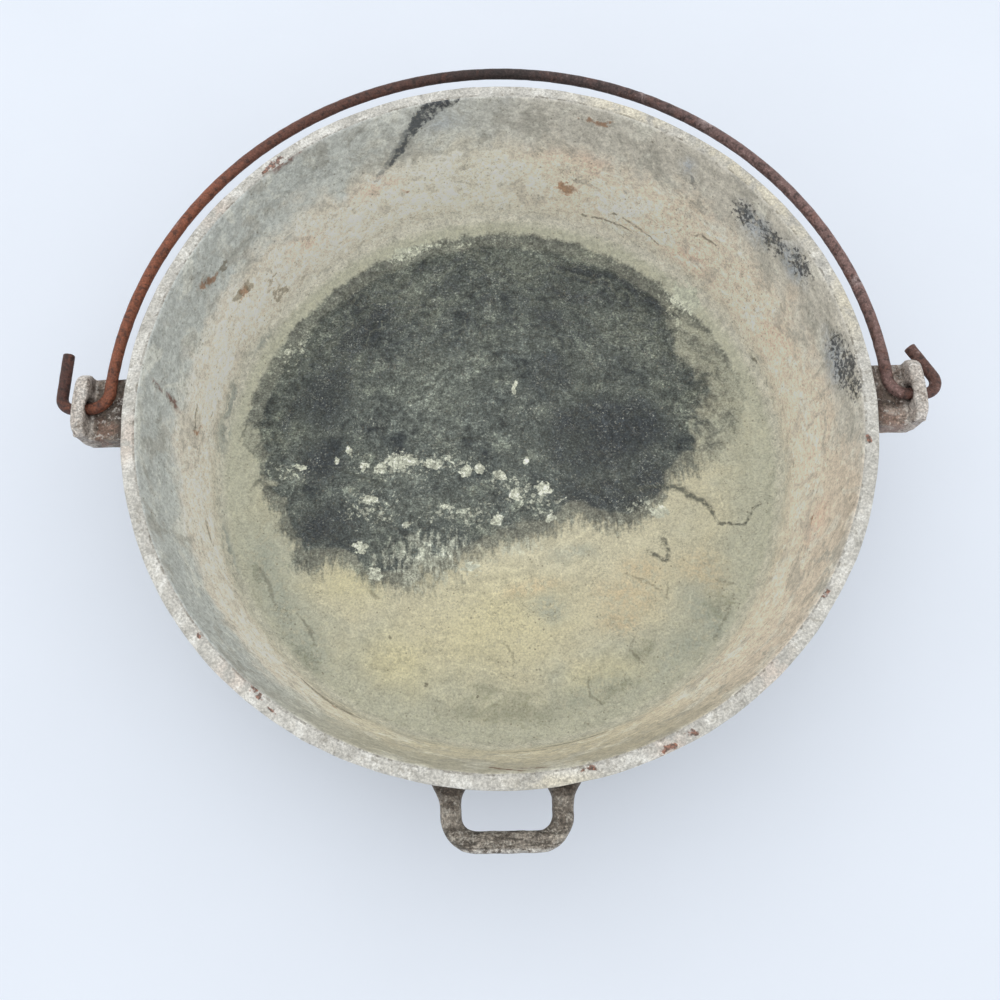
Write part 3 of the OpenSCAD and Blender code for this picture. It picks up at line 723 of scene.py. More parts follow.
def inside_finish(s):
    """The pot's inside: cream film and dark stain on the floor, scaled and discoloured wall."""
    f = Finish("stained_inside")
    x, y, z = f.split(f.place)
    flat = f.join(x, y, 0.0)
    r = f.vector("LENGTH", flat)
    loose = f.warp(26, 0.026)
    torn = f.warp(140, 0.009, at=loose)
    tight = f.warp(260, 0.0035)
    fine = f.noise(1000, 3, 0.7)
    mid = f.noise(360, 4, 0.68, 0.3)
    coarse = f.noise(120, 4, 0.62, 0.5)
    broad = f.noise(38, 4, 0.6, 0.5, shift=(4, 1, 2))
    # Fine rings round the axis, as scouring leaves them
    arcs = f.rings(f.math("ADD", f.math("ADD", r, z), f.math("ADD", f.swing(broad, 0.05), f.swing(coarse, 0.006))), 230)
    threads = f.noise(130, 4, 0.6, 1.6, shift=(3, 8, 2))

    # Wall: pale where it turns into the floor, tan and rosy above that, cool grey under the rim
    line = f.math("ADD", f.math("MULTIPLY_ADD", x, 0.02, 0.059), f.step(f.math("SUBTRACT", x, y), 0.130, 0.190, 0.0, 0.030))
    height = f.math("ADD", f.math("SUBTRACT", z, line), f.math("ADD", f.swing(broad, 0.05), f.swing(coarse, 0.022)))
    side = f.step(x, -0.13, 0.13)
    cool = f.ramp(side, [(0.0, srgb(173, 177, 174)), (0.35, srgb(181, 183, 178)), (0.7, srgb(182, 179, 170)), (1.0, srgb(184, 180, 170))])
    tan = f.ramp(side, [(0.0, srgb(200, 193, 180)), (0.4, srgb(202, 197, 182)), (0.75, srgb(198, 188, 172)), (1.0, srgb(198, 186, 170))])
    wall = f.mix(f.step(height, -0.012, 0.010), tan, cool)
    rosy = f.times(f.blots(loose, WALL_ROSE), f.step(broad, 0.28, 0.56), 0.76)
    wall = f.mix(rosy, wall, srgb(205, 178, 160))
    near = f.step(y, -0.100, -0.140)
    wall = f.mix(f.math("MULTIPLY", near, 0.75), wall, srgb(160, 155, 135))
    pale = f.times(f.step(f.noise(60, 4, 0.66, 0.7, shift=(5, 2, 1)), 0.52, 0.64), 0.42)
    wall = f.mix(pale, wall, srgb(208, 208, 198))
    dull = f.times(f.step(f.noise(52, 5, 0.68, 0.6, shift=(1, 7, 3)), 0.52, 0.62), 0.55)
    wall = f.mix(dull, wall, srgb(146, 144, 136))
    wall = f.mix(f.times(f.blots(loose, BLUISH), f.step(mid, 0.34, 0.54), 0.70), wall, srgb(150, 158, 168))
    foot = f.step(f.math("ADD", z, f.swing(coarse, 0.010)), 0.027, 0.013)
    foot_colour = f.mix(f.step(y, -0.060, 0.120), srgb(192, 191, 176), srgb(206, 204, 191))
    wall = f.mix(f.math("MULTIPLY", foot, 0.85), wall, foot_colour)
    wall = f.mix(f.times(f.blots(torn, RING_GREY), f.step(arcs, 0.34, 0.50), 0.90), wall, srgb(140, 146, 140))
    combed = f.times(f.step(arcs, 0.56, 0.68), f.step(z, 0.052, 0.020), 0.55)
    wall = f.mix(combed, wall, srgb(158, 150, 134))

    # Floor: cream film, yellow in its middle, rusty, bluish and mossy further out
    edge = f.step(f.math("ADD", r, f.swing(broad, 0.10)), 0.080, 0.126)
    bed = f.mix(edge, s.floor_colour, srgb(184, 184, 166))
    bed = f.mix(f.times(f.blots(loose, CREAM_YELLOW), 0.8), bed, srgb(204, 197, 161))
    bed = f.mix(f.times(f.blots(loose, CREAM_WARM), f.step(mid, 0.34, 0.60), 0.60), bed, srgb(192, 172, 138))
    bed = f.mix(f.times(f.blots(loose, CREAM_COOL), f.step(mid, 0.32, 0.58), 0.8), bed, srgb(154, 160, 150))
    speckled = f.step(mid, 0.50, 0.62)
    bed = f.mix(f.times(speckled, f.step(coarse, 0.42, 0.60), 0.42), bed, srgb(148, 146, 124))
    bed = f.mix(f.times(f.step(mid, 0.46, 0.34), 0.30), bed, srgb(220, 216, 190))
    bed = f.mix(f.times(f.broken(f.blots(loose, CREAM_DARK), mid, 0.42, 0.16), 0.45), bed, srgb(112, 114, 94))
    on_floor = f.step(f.math("ADD", z, f.swing(mid, 0.006)), 0.014, 0.009)
    colour = f.mix(on_floor, wall, bed)

    # Dark stain: a round far edge where the floor ends, and a wandering, streaky near edge
    wx, wy, wz = f.split(torn)
    edge_y = f.curve(f.math("MULTIPLY_ADD", wx, 1 / 0.26, 0.5), STAIN_EDGE)
    above = f.math("SUBTRACT", wy, f.math("MULTIPLY_ADD", edge_y, 0.16, -0.08))
    within = f.math("SUBTRACT", 0.1285, f.math("ADD", r, f.math("ADD", f.swing(coarse, 0.005), f.swing(mid, 0.003))))
    depth = f.math("MINIMUM", above, within)
    upright = f.noise(1.0, 4, 0.66, 0.2, stretch=(520.0, 130.0, 200.0))
    frayed = f.math("ADD", above, f.math("ADD", f.swing(mid, 0.020), f.swing(upright, 0.022)))
    veil = f.times(f.step(frayed, -0.0065, 0.0030), f.step(within, -0.0006, 0.0020))
    core = f.times(veil, f.step(depth, -0.001, 0.010))
    stain = f.times(f.math("MAXIMUM", core, f.times(veil, 0.80)), f.math("SUBTRACT", 1.0, f.times(f.broken(f.blots(loose, STAIN_VEIL), coarse, 0.36, 0.22), 0.58)))
    clouds = f.math("ADD", broad, f.math("ADD", f.swing(coarse, 0.7), f.swing(mid, 0.4)))
    dark = f.ramp(clouds, [(0.22, srgb(60, 66, 68)), (0.50, srgb(87, 93, 89)), (0.80, srgb(112, 118, 107))])
    dark = f.mix(f.times(f.blots(loose, STAIN_LIGHT), 0.62), dark, srgb(112, 118, 110))
    deep = f.broken(f.blots(loose, STAIN_DARK), f.math("ADD", f.times(coarse, 0.6), f.times(mid, 0.4)), 0.42, 0.16, 0.30)
    dark = f.mix(f.times(deep, 0.84), dark, srgb(46, 51, 57))
    swept = f.times(f.step(r, 0.060, 0.080), f.step(y, 0.030, 0.060), 0.7)
    dark = f.mix(f.times(swept, f.step(arcs, 0.50, 0.64)), dark, srgb(64, 68, 70))
    dark = f.mix(f.times(swept, f.step(arcs, 0.48, 0.36)), dark, srgb(120, 125, 116))
    rim_dark = f.times(f.step(within, 0.009, 0.0015), f.step(x, 0.0, 0.07), f.step(y, 0.0, 0.05), 0.45)
    dark = f.mix(rim_dark, dark, srgb(52, 56, 54))
    dark = f.mix(f.times(f.hairs(threads, 0.020), f.step(coarse, 0.44, 0.54), 0.55), dark, srgb(44, 48, 50))
    dark = f.mix(f.times(f.hairs(f.noise(210, 3, 0.6, 1.8, shift=(7, 1, 5)), 0.016), f.step(broad, 0.42, 0.52), 0.45), dark, srgb(140, 144, 132))
    dark = f.mix(f.times(f.step(fine, 0.60, 0.70), f.step(coarse, 0.46, 0.58), 0.8), dark, srgb(150, 154, 144))
    colour = f.mix(stain, colour, dark)

    # White scale on the stain, in flakes, in crumbs round them, and drawn out in streaks
    flakes = f.broken(f.blots(tight, FLAKES), f.noise(430, 3, 0.6, 0.4, shift=(9, 3, 1)), 0.31, 0.06, 0.34)
    crumbs = f.broken(f.blots(loose, CRUMBS), f.noise(460, 3, 0.66, 0.3, shift=(2, 6, 1)), 0.51, 0.05, 0.18)
    streaks = f.broken(f.blots(loose, STREAKS), f.noise(1.0, 4, 0.62, 0.3, shift=(3, 3, 3), stretch=(470.0, 150.0, 200.0)), 0.47, 0.08, 0.18)
    white = f.strongest([f.times(flakes, 0.92), f.times(crumbs, 0.60), f.times(streaks, 0.55)])
    colour = f.mix(white, colour, f.mix(mid, srgb(164, 168, 152), srgb(218, 220, 202)))

    # Lines and spots at their own places
    tail = f.strongest([f.paths(tight, TAIL), f.times(f.paths(tight, LOOPS), 0.7)])
    colour = f.mix(f.times(tail, f.step(mid, 0.34, 0.54), 0.85), colour, srgb(72, 76, 70))
    lines = f.strongest([f.times(f.paths(tight, FLOOR_LINES), 0.55), f.blots(tight, DENTS), f.paths(tight, CRACKS)])
    colour = f.mix(f.times(lines, f.step(mid, 0.32, 0.52), 0.78), colour, srgb(88, 84, 70))
    ochre = f.broken(f.blots(torn, BROWN), mid, 0.36, 0.10, 0.34)
    colour = f.mix(f.times(ochre, 0.85), colour, srgb(134, 102, 78))
    colour = f.mix(f.times(f.broken(f.blots(torn, CELLAR), f.noise(300, 3, 0.6, 0.6, shift=(8, 2, 2)), 0.40, 0.08, 0.34), 0.70), colour, srgb(112, 104, 88))
    colour = f.mix(f.times(f.paths(tight, RUST_LINES), f.step(mid, 0.36, 0.54), 0.85), colour, srgb(92, 58, 46))
    sooty = f.broken(f.paths(tight, BLACK_LINES), mid, 0.42, 0.14, 0.30)
    dotted = f.broken(f.blots(tight, SMUDGE), f.noise(560, 2, 0.6, 0.6, shift=(5, 5, 2)), 0.45, 0.10, 0.18)
    colour = f.mix(f.times(f.math("MAXIMUM", sooty, f.times(dotted, 0.9)), 0.92), colour, srgb(40, 43, 50))
    trail = f.broken(f.paths(tight, BLACK_TRAIL), mid, 0.44, 0.08, 0.3)
    colour = f.mix(f.times(trail, 0.60), colour, srgb(88, 92, 94))

    # Hairlines, dark dots and grain everywhere, stronger on the stain
    hair = f.times(f.hairs(threads, 0.009, 0.46), f.step(f.noise(48, 3, 0.6, shift=(2, 9, 4)), 0.44, 0.56), 0.62)
    colour = f.mix(hair, colour, srgb(112, 108, 96))
    squiggles = f.hairs(f.noise(330, 2, 0.5, 2.2, shift=(1, 4, 8)), 0.018, 0.45)
    colour = f.mix(f.times(squiggles, f.step(mid, 0.50, 0.42), 0.55), colour, srgb(104, 100, 84))
    dots = f.times(f.step(f.cells(330), 0.20, 0.08), f.step(f.noise(70, 3, 0.6, shift=(6, 6, 6)), 0.46, 0.58), 0.62)
    colour = f.mix(dots, colour, srgb(104, 98, 84))
    pits = f.times(f.step(fine, 0.60, 0.68), f.step(coarse, 0.42, 0.56), 0.42)
    colour = f.mix(pits, colour, srgb(112, 106, 92))
    grain = f.math("ADD", f.swing(fine, 1.2), f.math("ADD", f.swing(mid, 0.95), f.math("ADD", f.swing(coarse, 0.6), f.swing(arcs, 0.5))))
    grain = f.times(grain, f.math("MULTIPLY_ADD", stain, 1.7, 1.0))
    # The floor and wall are made paler by their gains, and the wall is darkened again towards the rim as painted shade.
    gains_and_painted_shade = f.times(f.step(z, 0.008, 0.030, s.floor_gain, s.wall_gain), f.step(z, 0.032, 0.082, 1.0, 0.735))
    colour = f.shade(colour, f.times(f.math("EXPONENT", grain), gains_and_painted_shade))

    rough = f.math("ADD", f.math("MULTIPLY_ADD", stain, -0.16, 0.70), f.swing(mid, 0.5))
    height = f.math("ADD", f.swing(coarse, 0.0011), f.math("ADD", f.swing(mid, 0.0006), f.swing(fine, 0.0002)))
    return f.close(colour, rough, f.bump(height, 1.0, 0.7), specular=0.3)


def outside_finish(s):
    """The rim's top and the pot's outside: worn bright on the rim, dull and sooty further down."""
    f = Finish("worn_outside")
    x, y, z = f.split(f.place)
    r = f.vector("LENGTH", f.join(x, y, 0.0))
    tight = f.warp(300, 0.004)
    fine = f.noise(1000, 3, 0.7)
    mid = f.noise(380, 4, 0.68, 0.3)
    coarse = f.noise(120, 4, 0.64, 0.5)
    base = f.ramp(f.noise(55, 4, 0.62, 0.5), [(0.32, srgb(136, 134, 128)), (0.5, srgb(160, 158, 151)), (0.7, srgb(178, 176, 168))])
    soot = f.times(f.step(z, 0.050, 0.002), f.step(f.noise(28, 4, 0.6, 0.6), 0.30, 0.62))
    below = f.mix(f.math("MULTIPLY", soot, 0.75), base, srgb(78, 75, 70))
    rim = f.ramp(coarse, [(0.28, srgb(176, 174, 166)), (0.46, srgb(202, 200, 192)), (0.66, srgb(222, 221, 214))])
    cream = f.times(f.blots(f.place, RIM_CREAM), f.step(coarse, 0.30, 0.55), 0.7)
    rim = f.mix(cream, rim, srgb(212, 204, 180))
    rosy = f.times(f.blots(f.place, RIM_ROSY), f.step(coarse, 0.38, 0.56), 0.4)
    rim = f.mix(rosy, rim, srgb(206, 182, 164))
    worn = f.times(f.step(mid, 0.52, 0.62), f.step(f.noise(46, 3, 0.6, shift=(7, 1, 1)), 0.36, 0.56), 0.62)
    rim = f.mix(worn, rim, srgb(132, 128, 118))
    colour = f.mix(f.step(z, 0.0800, 0.0860), below, rim)
    lip = f.math("SUBTRACT", r, s.rim_radius - s.rim_lip - s.wall_t / math.cos(s.slope))
    crease = f.times(f.step(f.math("ABSOLUTE", f.math("SUBTRACT", lip, 0.0008)), 0.0007, 0.0002), f.step(coarse, 0.40, 0.52), f.step(z, 0.0850, 0.0865), f.step(mid, 0.42, 0.54), 0.6)
    colour = f.mix(crease, colour, srgb(104, 98, 86))
    rust = f.broken(f.blots(tight, RIM_RUST), mid, 0.40, 0.08, 0.3)
    colour = f.mix(f.times(rust, 0.85), colour, f.mix(f.step(fine, 0.4, 0.6), srgb(74, 50, 38), srgb(136, 84, 62)))
    grain = f.math("ADD", f.swing(fine, 1.8), f.math("ADD", f.swing(mid, 1.3), f.swing(coarse, 0.4)))
    colour = f.shade(colour, f.times(f.math("EXPONENT", grain), f.step(z, 0.080, 0.086, 1.0, s.rim_gain)))
    rough = f.math("ADD", 0.56, f.swing(mid, 0.6))
    height = f.math("ADD", f.swing(coarse, 0.0014), f.math("ADD", f.swing(mid, 0.0008), f.swing(fine, 0.00025)))
    return f.close(colour, rough, f.bump(height, 1.0, 0.8), metallic=0.1, specular=0.4)


def ear_finish(s):
    """The ears: pale and worn on the plate's top with painted light, brown-grey on the web, painted shade on the
    plate's upright faces, and a painted shadow where the rim shades the web.
    """
    f = Finish("worn_ear")
    x, y, z = f.split(f.place)
    nz = f.split(f.normal)[2]
    reach = f.math("ABSOLUTE", x)
    fine = f.noise(1100, 3, 0.7)
    mid = f.noise(420, 4, 0.68, 0.3)
    coarse = f.noise(150, 4, 0.64, 0.5)
    web = f.ramp(coarse, [(0.30, srgb(84, 74, 66)), (0.50, srgb(134, 123, 112)), (0.68, srgb(164, 156, 146))])
    # The right ear's web is paler than the left's.
    right_web_paler = f.times(f.step(x, 0.0, 0.165), f.step(coarse, 0.30, 0.52), 0.62)
    web = f.mix(right_web_paler, web, srgb(186, 168, 156))
    plate = f.ramp(coarse, [(0.28, srgb(140, 130, 120)), (0.44, srgb(194, 186, 177)), (0.64, srgb(216, 210, 202))])
    on_plate = f.step(f.math("ADD", reach, f.swing(coarse, 0.004)), s.inner_x - 0.0016, s.inner_x + 0.0010)
    # Paler on the plate's up-facing faces: the plate's worn metal, with painted light on its top; its downward faces
    # keep the web's darker colour as painted shade.
    colour = f.mix(f.times(on_plate, f.step(nz, -0.35, 0.45)), web, plate)
    # Dark and bluish on the plate's upright and downward faces above the ledge: soot, and painted shade.
    face = f.times(f.step(nz, 0.35, -0.25), f.step(z, 0.0785, 0.0800), on_plate)
    colour = f.mix(f.times(face, 0.55), colour, srgb(96, 98, 102))
    ruddy = f.times(f.step(f.noise(90, 4, 0.64, 0.8, shift=(3, 1, 5)), 0.50, 0.62), f.step(reach, 0.1690, 0.1640), 0.55)
    colour = f.mix(ruddy, colour, srgb(118, 82, 66))
    # Painted shadow of the rim: dark on the web close to the wall.
    rim_shadow = f.times(f.step(f.math("ADD", reach, f.swing(mid, 0.006)), 0.1590, 0.1545), 0.85)
    colour = f.mix(rim_shadow, colour, srgb(58, 50, 44))
    eye = f.vector("DISTANCE", f.join(0.0, y, z), (0.0, 0.0, PIVOT_Z))
    grimy = f.times(f.step(eye, s.hole_r + 0.0030, s.hole_r + 0.0004), f.step(mid, 0.34, 0.52), 0.75)
    colour = f.mix(grimy, colour, srgb(62, 52, 46))
    pits = f.times(f.step(mid, 0.56, 0.64), 0.72)
    colour = f.mix(pits, colour, srgb(78, 68, 58))
    # Pale spots on up-facing faces: worn metal, and painted highlights.
    bright = f.times(f.step(mid, 0.46, 0.38), f.step(nz, 0.1, 0.7), 0.60)
    colour = f.mix(bright, colour, srgb(224, 220, 212))
    grain = f.math("ADD", f.swing(fine, 3.2), f.swing(mid, 2.0))
    colour = f.shade(colour, f.math("EXPONENT", grain))
    height = f.math("ADD", f.swing(coarse, 0.0022), f.math("ADD", f.swing(mid, 0.0011), f.swing(fine, 0.0003)))
    return f.close(colour, f.math("ADD", 0.55, f.swing(mid, 0.7)), f.bump(height, 1.0, 0.9), metallic=0.1, specular=0.4)


def handle_finish(s):
    """The tilt handle: dark and mottled, with a painted highlight along its worn outer edge and a painted shadow of the
    rim at its roots.
    """
    f = Finish("worn_handle")
    x, y, z = f.split(f.place)
    nz = f.split(f.normal)[2]
    across = f.math("ABSOLUTE", x)
    fine = f.noise(1100, 3, 0.7)
    mid = f.noise(430, 4, 0.7, 0.4)
    coarse = f.noise(150, 4, 0.66, 0.6)
    drawn = f.noise(1.0, 4, 0.68, 0.4, stretch=(150.0, 620.0, 300.0))
    colour = f.ramp(coarse, [(0.28, srgb(70, 64, 56)), (0.46, srgb(106, 98, 88)), (0.64, srgb(158, 150, 138))])
    bar = f.step(y, -0.1640, -0.1665)
    colour = f.mix(f.times(f.step(drawn, 0.50, 0.60), bar, 0.75), colour, srgb(60, 56, 48))
    colour = f.mix(f.times(f.step(drawn, 0.48, 0.38), bar, 0.60), colour, srgb(172, 166, 154))
    colour = f.mix(f.times(f.step(mid, 0.54, 0.62), 0.70), colour, srgb(52, 46, 40))
    colour = f.mix(f.times(f.step(mid, 0.45, 0.37), 0.72), colour, srgb(190, 184, 172))
    # Painted shadow of the rim, dark on the roots close to the wall.
    root = f.times(f.step(f.math("ADD", y, f.swing(mid, 0.006)), -0.1575, -0.1520), 0.75)
    colour = f.mix(root, colour, srgb(62, 52, 44))
    flare = f.times(f.step(across, 0.0250, 0.0300), f.step(coarse, 0.38, 0.52), 0.55)
    colour = f.mix(flare, colour, srgb(150, 142, 130))
    # Painted highlight along the rounded outer edge of the bar, where it is also worn pale.
    out_y = f.math("ABSOLUTE", f.math("ADD", y, s.outer_y))
    worn = f.times(f.step(out_y, 0.0022, 0.0010), f.step(nz, 0.1, 0.6), f.step(mid, 0.60, 0.48), 0.8)
    colour = f.mix(worn, colour, srgb(206, 202, 194))
    grain = f.math("ADD", f.swing(fine, 3.6), f.swing(mid, 2.0))
    colour = f.shade(colour, f.math("EXPONENT", grain))
    height = f.math("ADD", f.swing(coarse, 0.0022), f.math("ADD", f.swing(mid, 0.0011), f.swing(fine, 0.0003)))
    return f.close(colour, f.math("ADD", 0.52, f.swing(mid, 0.7)), f.bump(height, 1.0, 0.9), metallic=0.1, specular=0.4)


def rusty_wire_finish(s):
    """Iron wire under old rust: orange on its left, nearly black at the top and purplish on its right."""
    f = Finish("rusty_wire")
    x, y, z = f.split(f.place)
    fine = f.noise(1300, 3, 0.7)
    mid = f.noise(420, 4, 0.68, 0.4)
    coarse = f.noise(120, 4, 0.62, 0.4)
    side = f.math("ADD", f.math("MULTIPLY_ADD", x, 1 / 0.36, 0.5), f.swing(coarse, 0.16))
    along = f.ramp(
        side,
        [
            (0.01, srgb(82, 54, 47)), (0.055, srgb(132, 80, 58)), (0.12, srgb(140, 86, 64)), (0.20, srgb(112, 74, 62)), (0.36, srgb(88, 62, 55)),
            (0.50, srgb(56, 46, 44)), (0.66, srgb(84, 68, 66)), (0.80, srgb(120, 96, 92)), (0.91, srgb(130, 104, 99)), (0.985, srgb(96, 68, 60)),
        ],
    )
    colour = f.mix(f.times(f.step(coarse, 0.52, 0.66), 0.25), along, srgb(128, 80, 62))
    colour = f.mix(f.times(f.step(mid, 0.48, 0.38), 0.55), colour, srgb(44, 36, 34))
    # Paler spots on the wire's right half: pale rust, and painted highlights.
    colour = f.mix(f.times(f.step(mid, 0.58, 0.68), f.step(x, -0.02, 0.06), 0.45), colour, srgb(160, 140, 136))
    scuffs = f.times(f.blots(f.place, WIRE_SCUFFS), f.step(mid, 0.40, 0.54), 0.75)
    colour = f.mix(scuffs, colour, srgb(178, 164, 162))
    grain = f.math("ADD", f.swing(fine, 2.2), f.swing(mid, 1.0))
    colour = f.shade(colour, f.math("EXPONENT", grain))
    height = f.math("ADD", f.swing(coarse, 0.0010), f.math("ADD", f.swing(mid, 0.0009), f.swing(fine, 0.0003)))
    return f.close(colour, f.math("ADD", 0.55, f.swing(mid, 0.6)), f.bump(height, 1.0, 0.8), metallic=0.1, specular=0.4)


def floor_finish(s):
    """A plain pale floor with a faint unevenness."""
    f = Finish("pale_floor")
    tone = f.swing(f.noise(7, 4, 0.55), 0.06)
    colour = f.vector("SCALE", s.floor_colour, scale=f.math("EXPONENT", tone))
    return f.close(colour, 0.7, f.bump(f.noise(40, 3), 0.001, 0.1), specular=0.1)


# Pieces


class OvenBuildPot(bpy.types.Operator):
    """Spins the pot's floor, wall and rim from one outline"""

    bl_idname = "oven.build_pot"
    bl_label = "Pot"

    def execute(self, context):
        s = context.scene.oven_pot
        tan = math.tan(s.slope)
        across = s.wall_t / math.cos(s.slope)
        mouth = s.rim_radius - s.rim_lip - across

        def inner(z):
            return mouth - (s.height - z) * tan

        half_turn = math.tan((math.pi / 2 - s.slope) / 2)
        low = s.height - s.rim_h
        corners = [
            (0.0, 0.0, 0.0, 0),
            (inner(0) + across, 0.0, (s.corner_r + s.wall_t) * half_turn, 10),
            (inner(low) + across, low, 0.0014 * half_turn, 4),
            (s.rim_radius, low, 0.0012, 4),
            (s.rim_radius, s.height, s.rim_edge_r, 6),
            (mouth, s.height, s.rim_edge_r * half_turn, 5),
            (inner(s.floor_t), s.floor_t, s.corner_r * half_turn, 14),
            (0.0, s.floor_t, 0.0, 0),
        ]
        bm = bmesh.new()
        verts, _ = wire_path(bm, [(c[0], 0.0, c[1]) for c in corners])
        for vert, (_, _, offset, segments) in zip(verts, corners):
            if segments:
                round_vertex(bm, vert, offset, segments)
        split_long(bm, 0.0035)
        bmesh.ops.spin(bm, geom=bm.verts[:] + bm.edges[:], cent=(0, 0, 0), axis=(0, 0, 1), angle=2 * math.pi, steps=300, use_merge=True)
        bmesh.ops.remove_doubles(bm, verts=bm.verts, dist=1e-5)
        bmesh.ops.recalc_face_normals(bm, faces=bm.faces)
        for face in bm.faces:
            c = face.calc_center_median()
            within = math.hypot(c.x, c.y) < inner(c.z) + across / 2 and c.z < s.height - 0.0003
            face.material_index = 0 if within and face.normal.z > 0 else 1
        roughen(bm, s.unevenness, 0.030, 1.0)
        shift = Vector((4.0, 9.0, 2.0))
        for v in bm.verts:
            if v.co.z > s.height - s.rim_h:
                dent = noise.noise(v.co / 0.009 + shift)
                v.co += v.normal * (dent * 0.00022)
            v.co.z = min(max(v.co.z, 0.0), s.height)
        obj = make_piece("vessel", bm, [inside_finish(s), outside_finish(s)], "pot", "pot")
        return {"FINISHED"}


WALL_MIDDLE_R = 0.1466


def bury_root(bm, first, last, cuts=20):
    """Divides the root edge of an outline and bends it onto a circle inside the wall's thickness."""
    made = bmesh.ops.subdivide_edges(bm, edges=[bm.edges.get((first, last))], cuts=cuts)
    for v in [g for g in made["geom_inner"] if isinstance(g, bmesh.types.BMVert)]:
        across = Vector((v.co.x, v.co.y, 0.0))
        v.co.xy = (across * (WALL_MIDDLE_R / across.length)).xy


def on_circle(radius, across):
    return math.sqrt(radius * radius - across * across)


def build_ear(s, side, name, finish):
    """One ear: an eye plate with the wire's hole, and a flared web that carries it from the wall."""
    half = s.width / 2
    low = s.top_z - s.height
    outer_x = s.inner_x + s.plate_t
    plate = bmesh.new()
    bmesh.ops.create_cube(plate, size=1.0)
    bmesh.ops.scale(plate, vec=(s.plate_t, s.width, s.height), verts=plate.verts)
    bmesh.ops.translate(plate, vec=((s.inner_x + outer_x) / 2, s.shift, s.top_z - s.height / 2), verts=plate.verts)
    for high, radius in ((True, s.crown_r), (False, s.edge_r)):
        edges = [
            e
            for e in plate.edges
            if abs(e.verts[0].co.y - e.verts[1].co.y) < 1e-6
            and abs(e.verts[0].co.z - e.verts[1].co.z) < 1e-6
            and (e.verts[0].co.z > s.top_z - 0.001) == high
            and abs(e.verts[0].co.y - s.shift) > half - 1e-5
        ]
        bmesh.ops.bevel(plate, geom=edges, offset=radius, offset_type="OFFSET", segments=8, profile=0.5, affect="EDGES", material=-1)
    for outer, radius in ((True, 0.0021), (False, 0.0014)):
        rim = [
            e
            for e in plate.edges
            if e.is_manifold and e.calc_face_angle(0) > 0.9 and (e.verts[0].co.x > outer_x - 1e-5 and e.verts[1].co.x > outer_x - 1e-5) == outer
        ]
        bmesh.ops.bevel(plate, geom=rim, offset=radius, offset_type="OFFSET", segments=5, profile=0.5, affect="EDGES", material=-1)
    drill = bmesh.new()
    turn = Matrix.Translation(((s.inner_x + outer_x) / 2, 0, PIVOT_Z)) @ Matrix.Rotation(math.pi / 2, 4, "Y")
    bmesh.ops.create_cone(drill, cap_ends=True, segments=48, radius1=s.hole_r, radius2=s.hole_r, depth=s.plate_t * 2, matrix=turn)
    sink = Matrix.Translation((s.inner_x + 0.0002, 0, PIVOT_Z)) @ Matrix.Rotation(math.pi / 2, 4, "Y")
    bmesh.ops.create_cone(drill, cap_ends=True, segments=48, radius1=s.hole_r + 0.0022, radius2=s.hole_r - 0.0002, depth=0.0030, matrix=sink)
    body = cut_away(plate, drill)

    web = bmesh.new()
    high_y, low_y = s.shift + half, s.shift - half
    wall_r = WALL_MIDDLE_R + 0.0022
    buried_r = WALL_MIDDLE_R + 0.0013
    end_y = s.shift + half + s.root + 0.0035
    start_y = s.shift - half - s.root - 0.0035
    outline = [
        (on_circle(WALL_MIDDLE_R, end_y), end_y),
        (on_circle(buried_r, end_y), end_y),
        (on_circle(wall_r, high_y), high_y),
        (outer_x - s.edge_r, high_y),
        (outer_x - s.edge_r, low_y),
        (on_circle(wall_r, low_y), low_y),
        (on_circle(buried_r, start_y), start_y),
        (on_circle(WALL_MIDDLE_R, start_y), start_y),
    ]
    verts, _ = wire_path(web, [(px, py, low) for px, py in outline])
    web.edges.new((verts[-1], verts[0]))
    for k in (2, 5):
        round_vertex(web, verts[k], s.root, 10)
    bury_root(web, verts[0], verts[-1])
    bmesh.ops.contextual_create(web, geom=web.edges[:])
    made = bmesh.ops.extrude_face_region(web, geom=web.faces[:])
    top = [g for g in made["geom"] if isinstance(g, bmesh.types.BMVert)]
    bmesh.ops.translate(web, vec=(0, 0, s.ledge_z - low), verts=top)
    bmesh.ops.recalc_face_normals(web, faces=web.faces)
    under = [f for f in web.faces if f.normal.z < -0.9]
    round_cap(web, under, 0.0022)
    over = [f for f in web.faces if f.normal.z > 0.9]
    round_cap(web, over, 0.0008, 2)
    # The fillet between the ledge and the plate
    fillet = bmesh.new()
    bmesh.ops.create_cube(fillet, size=1.0)
    bmesh.ops.scale(fillet, vec=(0.0020, s.width - 0.0040, 0.0020), verts=fillet.verts)
    bmesh.ops.rotate(fillet, cent=(0, 0, 0), matrix=Matrix.Rotation(math.radians(45), 3, "Y"), verts=fillet.verts)
    bmesh.ops.translate(fillet, vec=(s.inner_x + 0.0002, s.shift, s.ledge_z), verts=fillet.verts)
    for part in (web, fillet):
        mesh = bpy.data.meshes.new("part")
        part.to_mesh(mesh)
        part.free()
        body.from_mesh(mesh)
        bpy.data.meshes.remove(mesh)

    bm = cast_soften(body, 0.00036, 6, name)
    bow = 0.0010
    for v in bm.verts:
        reach = min(1.0, max(0.0, (v.co.x - s.inner_x) / s.plate_t))
        rise = min(1.0, max(0.0, (v.co.z - s.ledge_z) / (s.top_z - s.ledge_z)))
        near = 1.0 if v.co.y < 0 else 0.6
        v.co.x += s.lean * near * rise * (1.0 - reach) - bow * reach * ((v.co.y - s.shift) / half) ** 2
    roughen(bm, 0.00017, 0.0042, 3.0 + side)
    if side < 0:
        bmesh.ops.scale(bm, vec=(-1, 1, 1), verts=bm.verts)
        bmesh.ops.reverse_faces(bm, faces=bm.faces)
    return make_piece(name, bm, [finish], "pot", "pot")


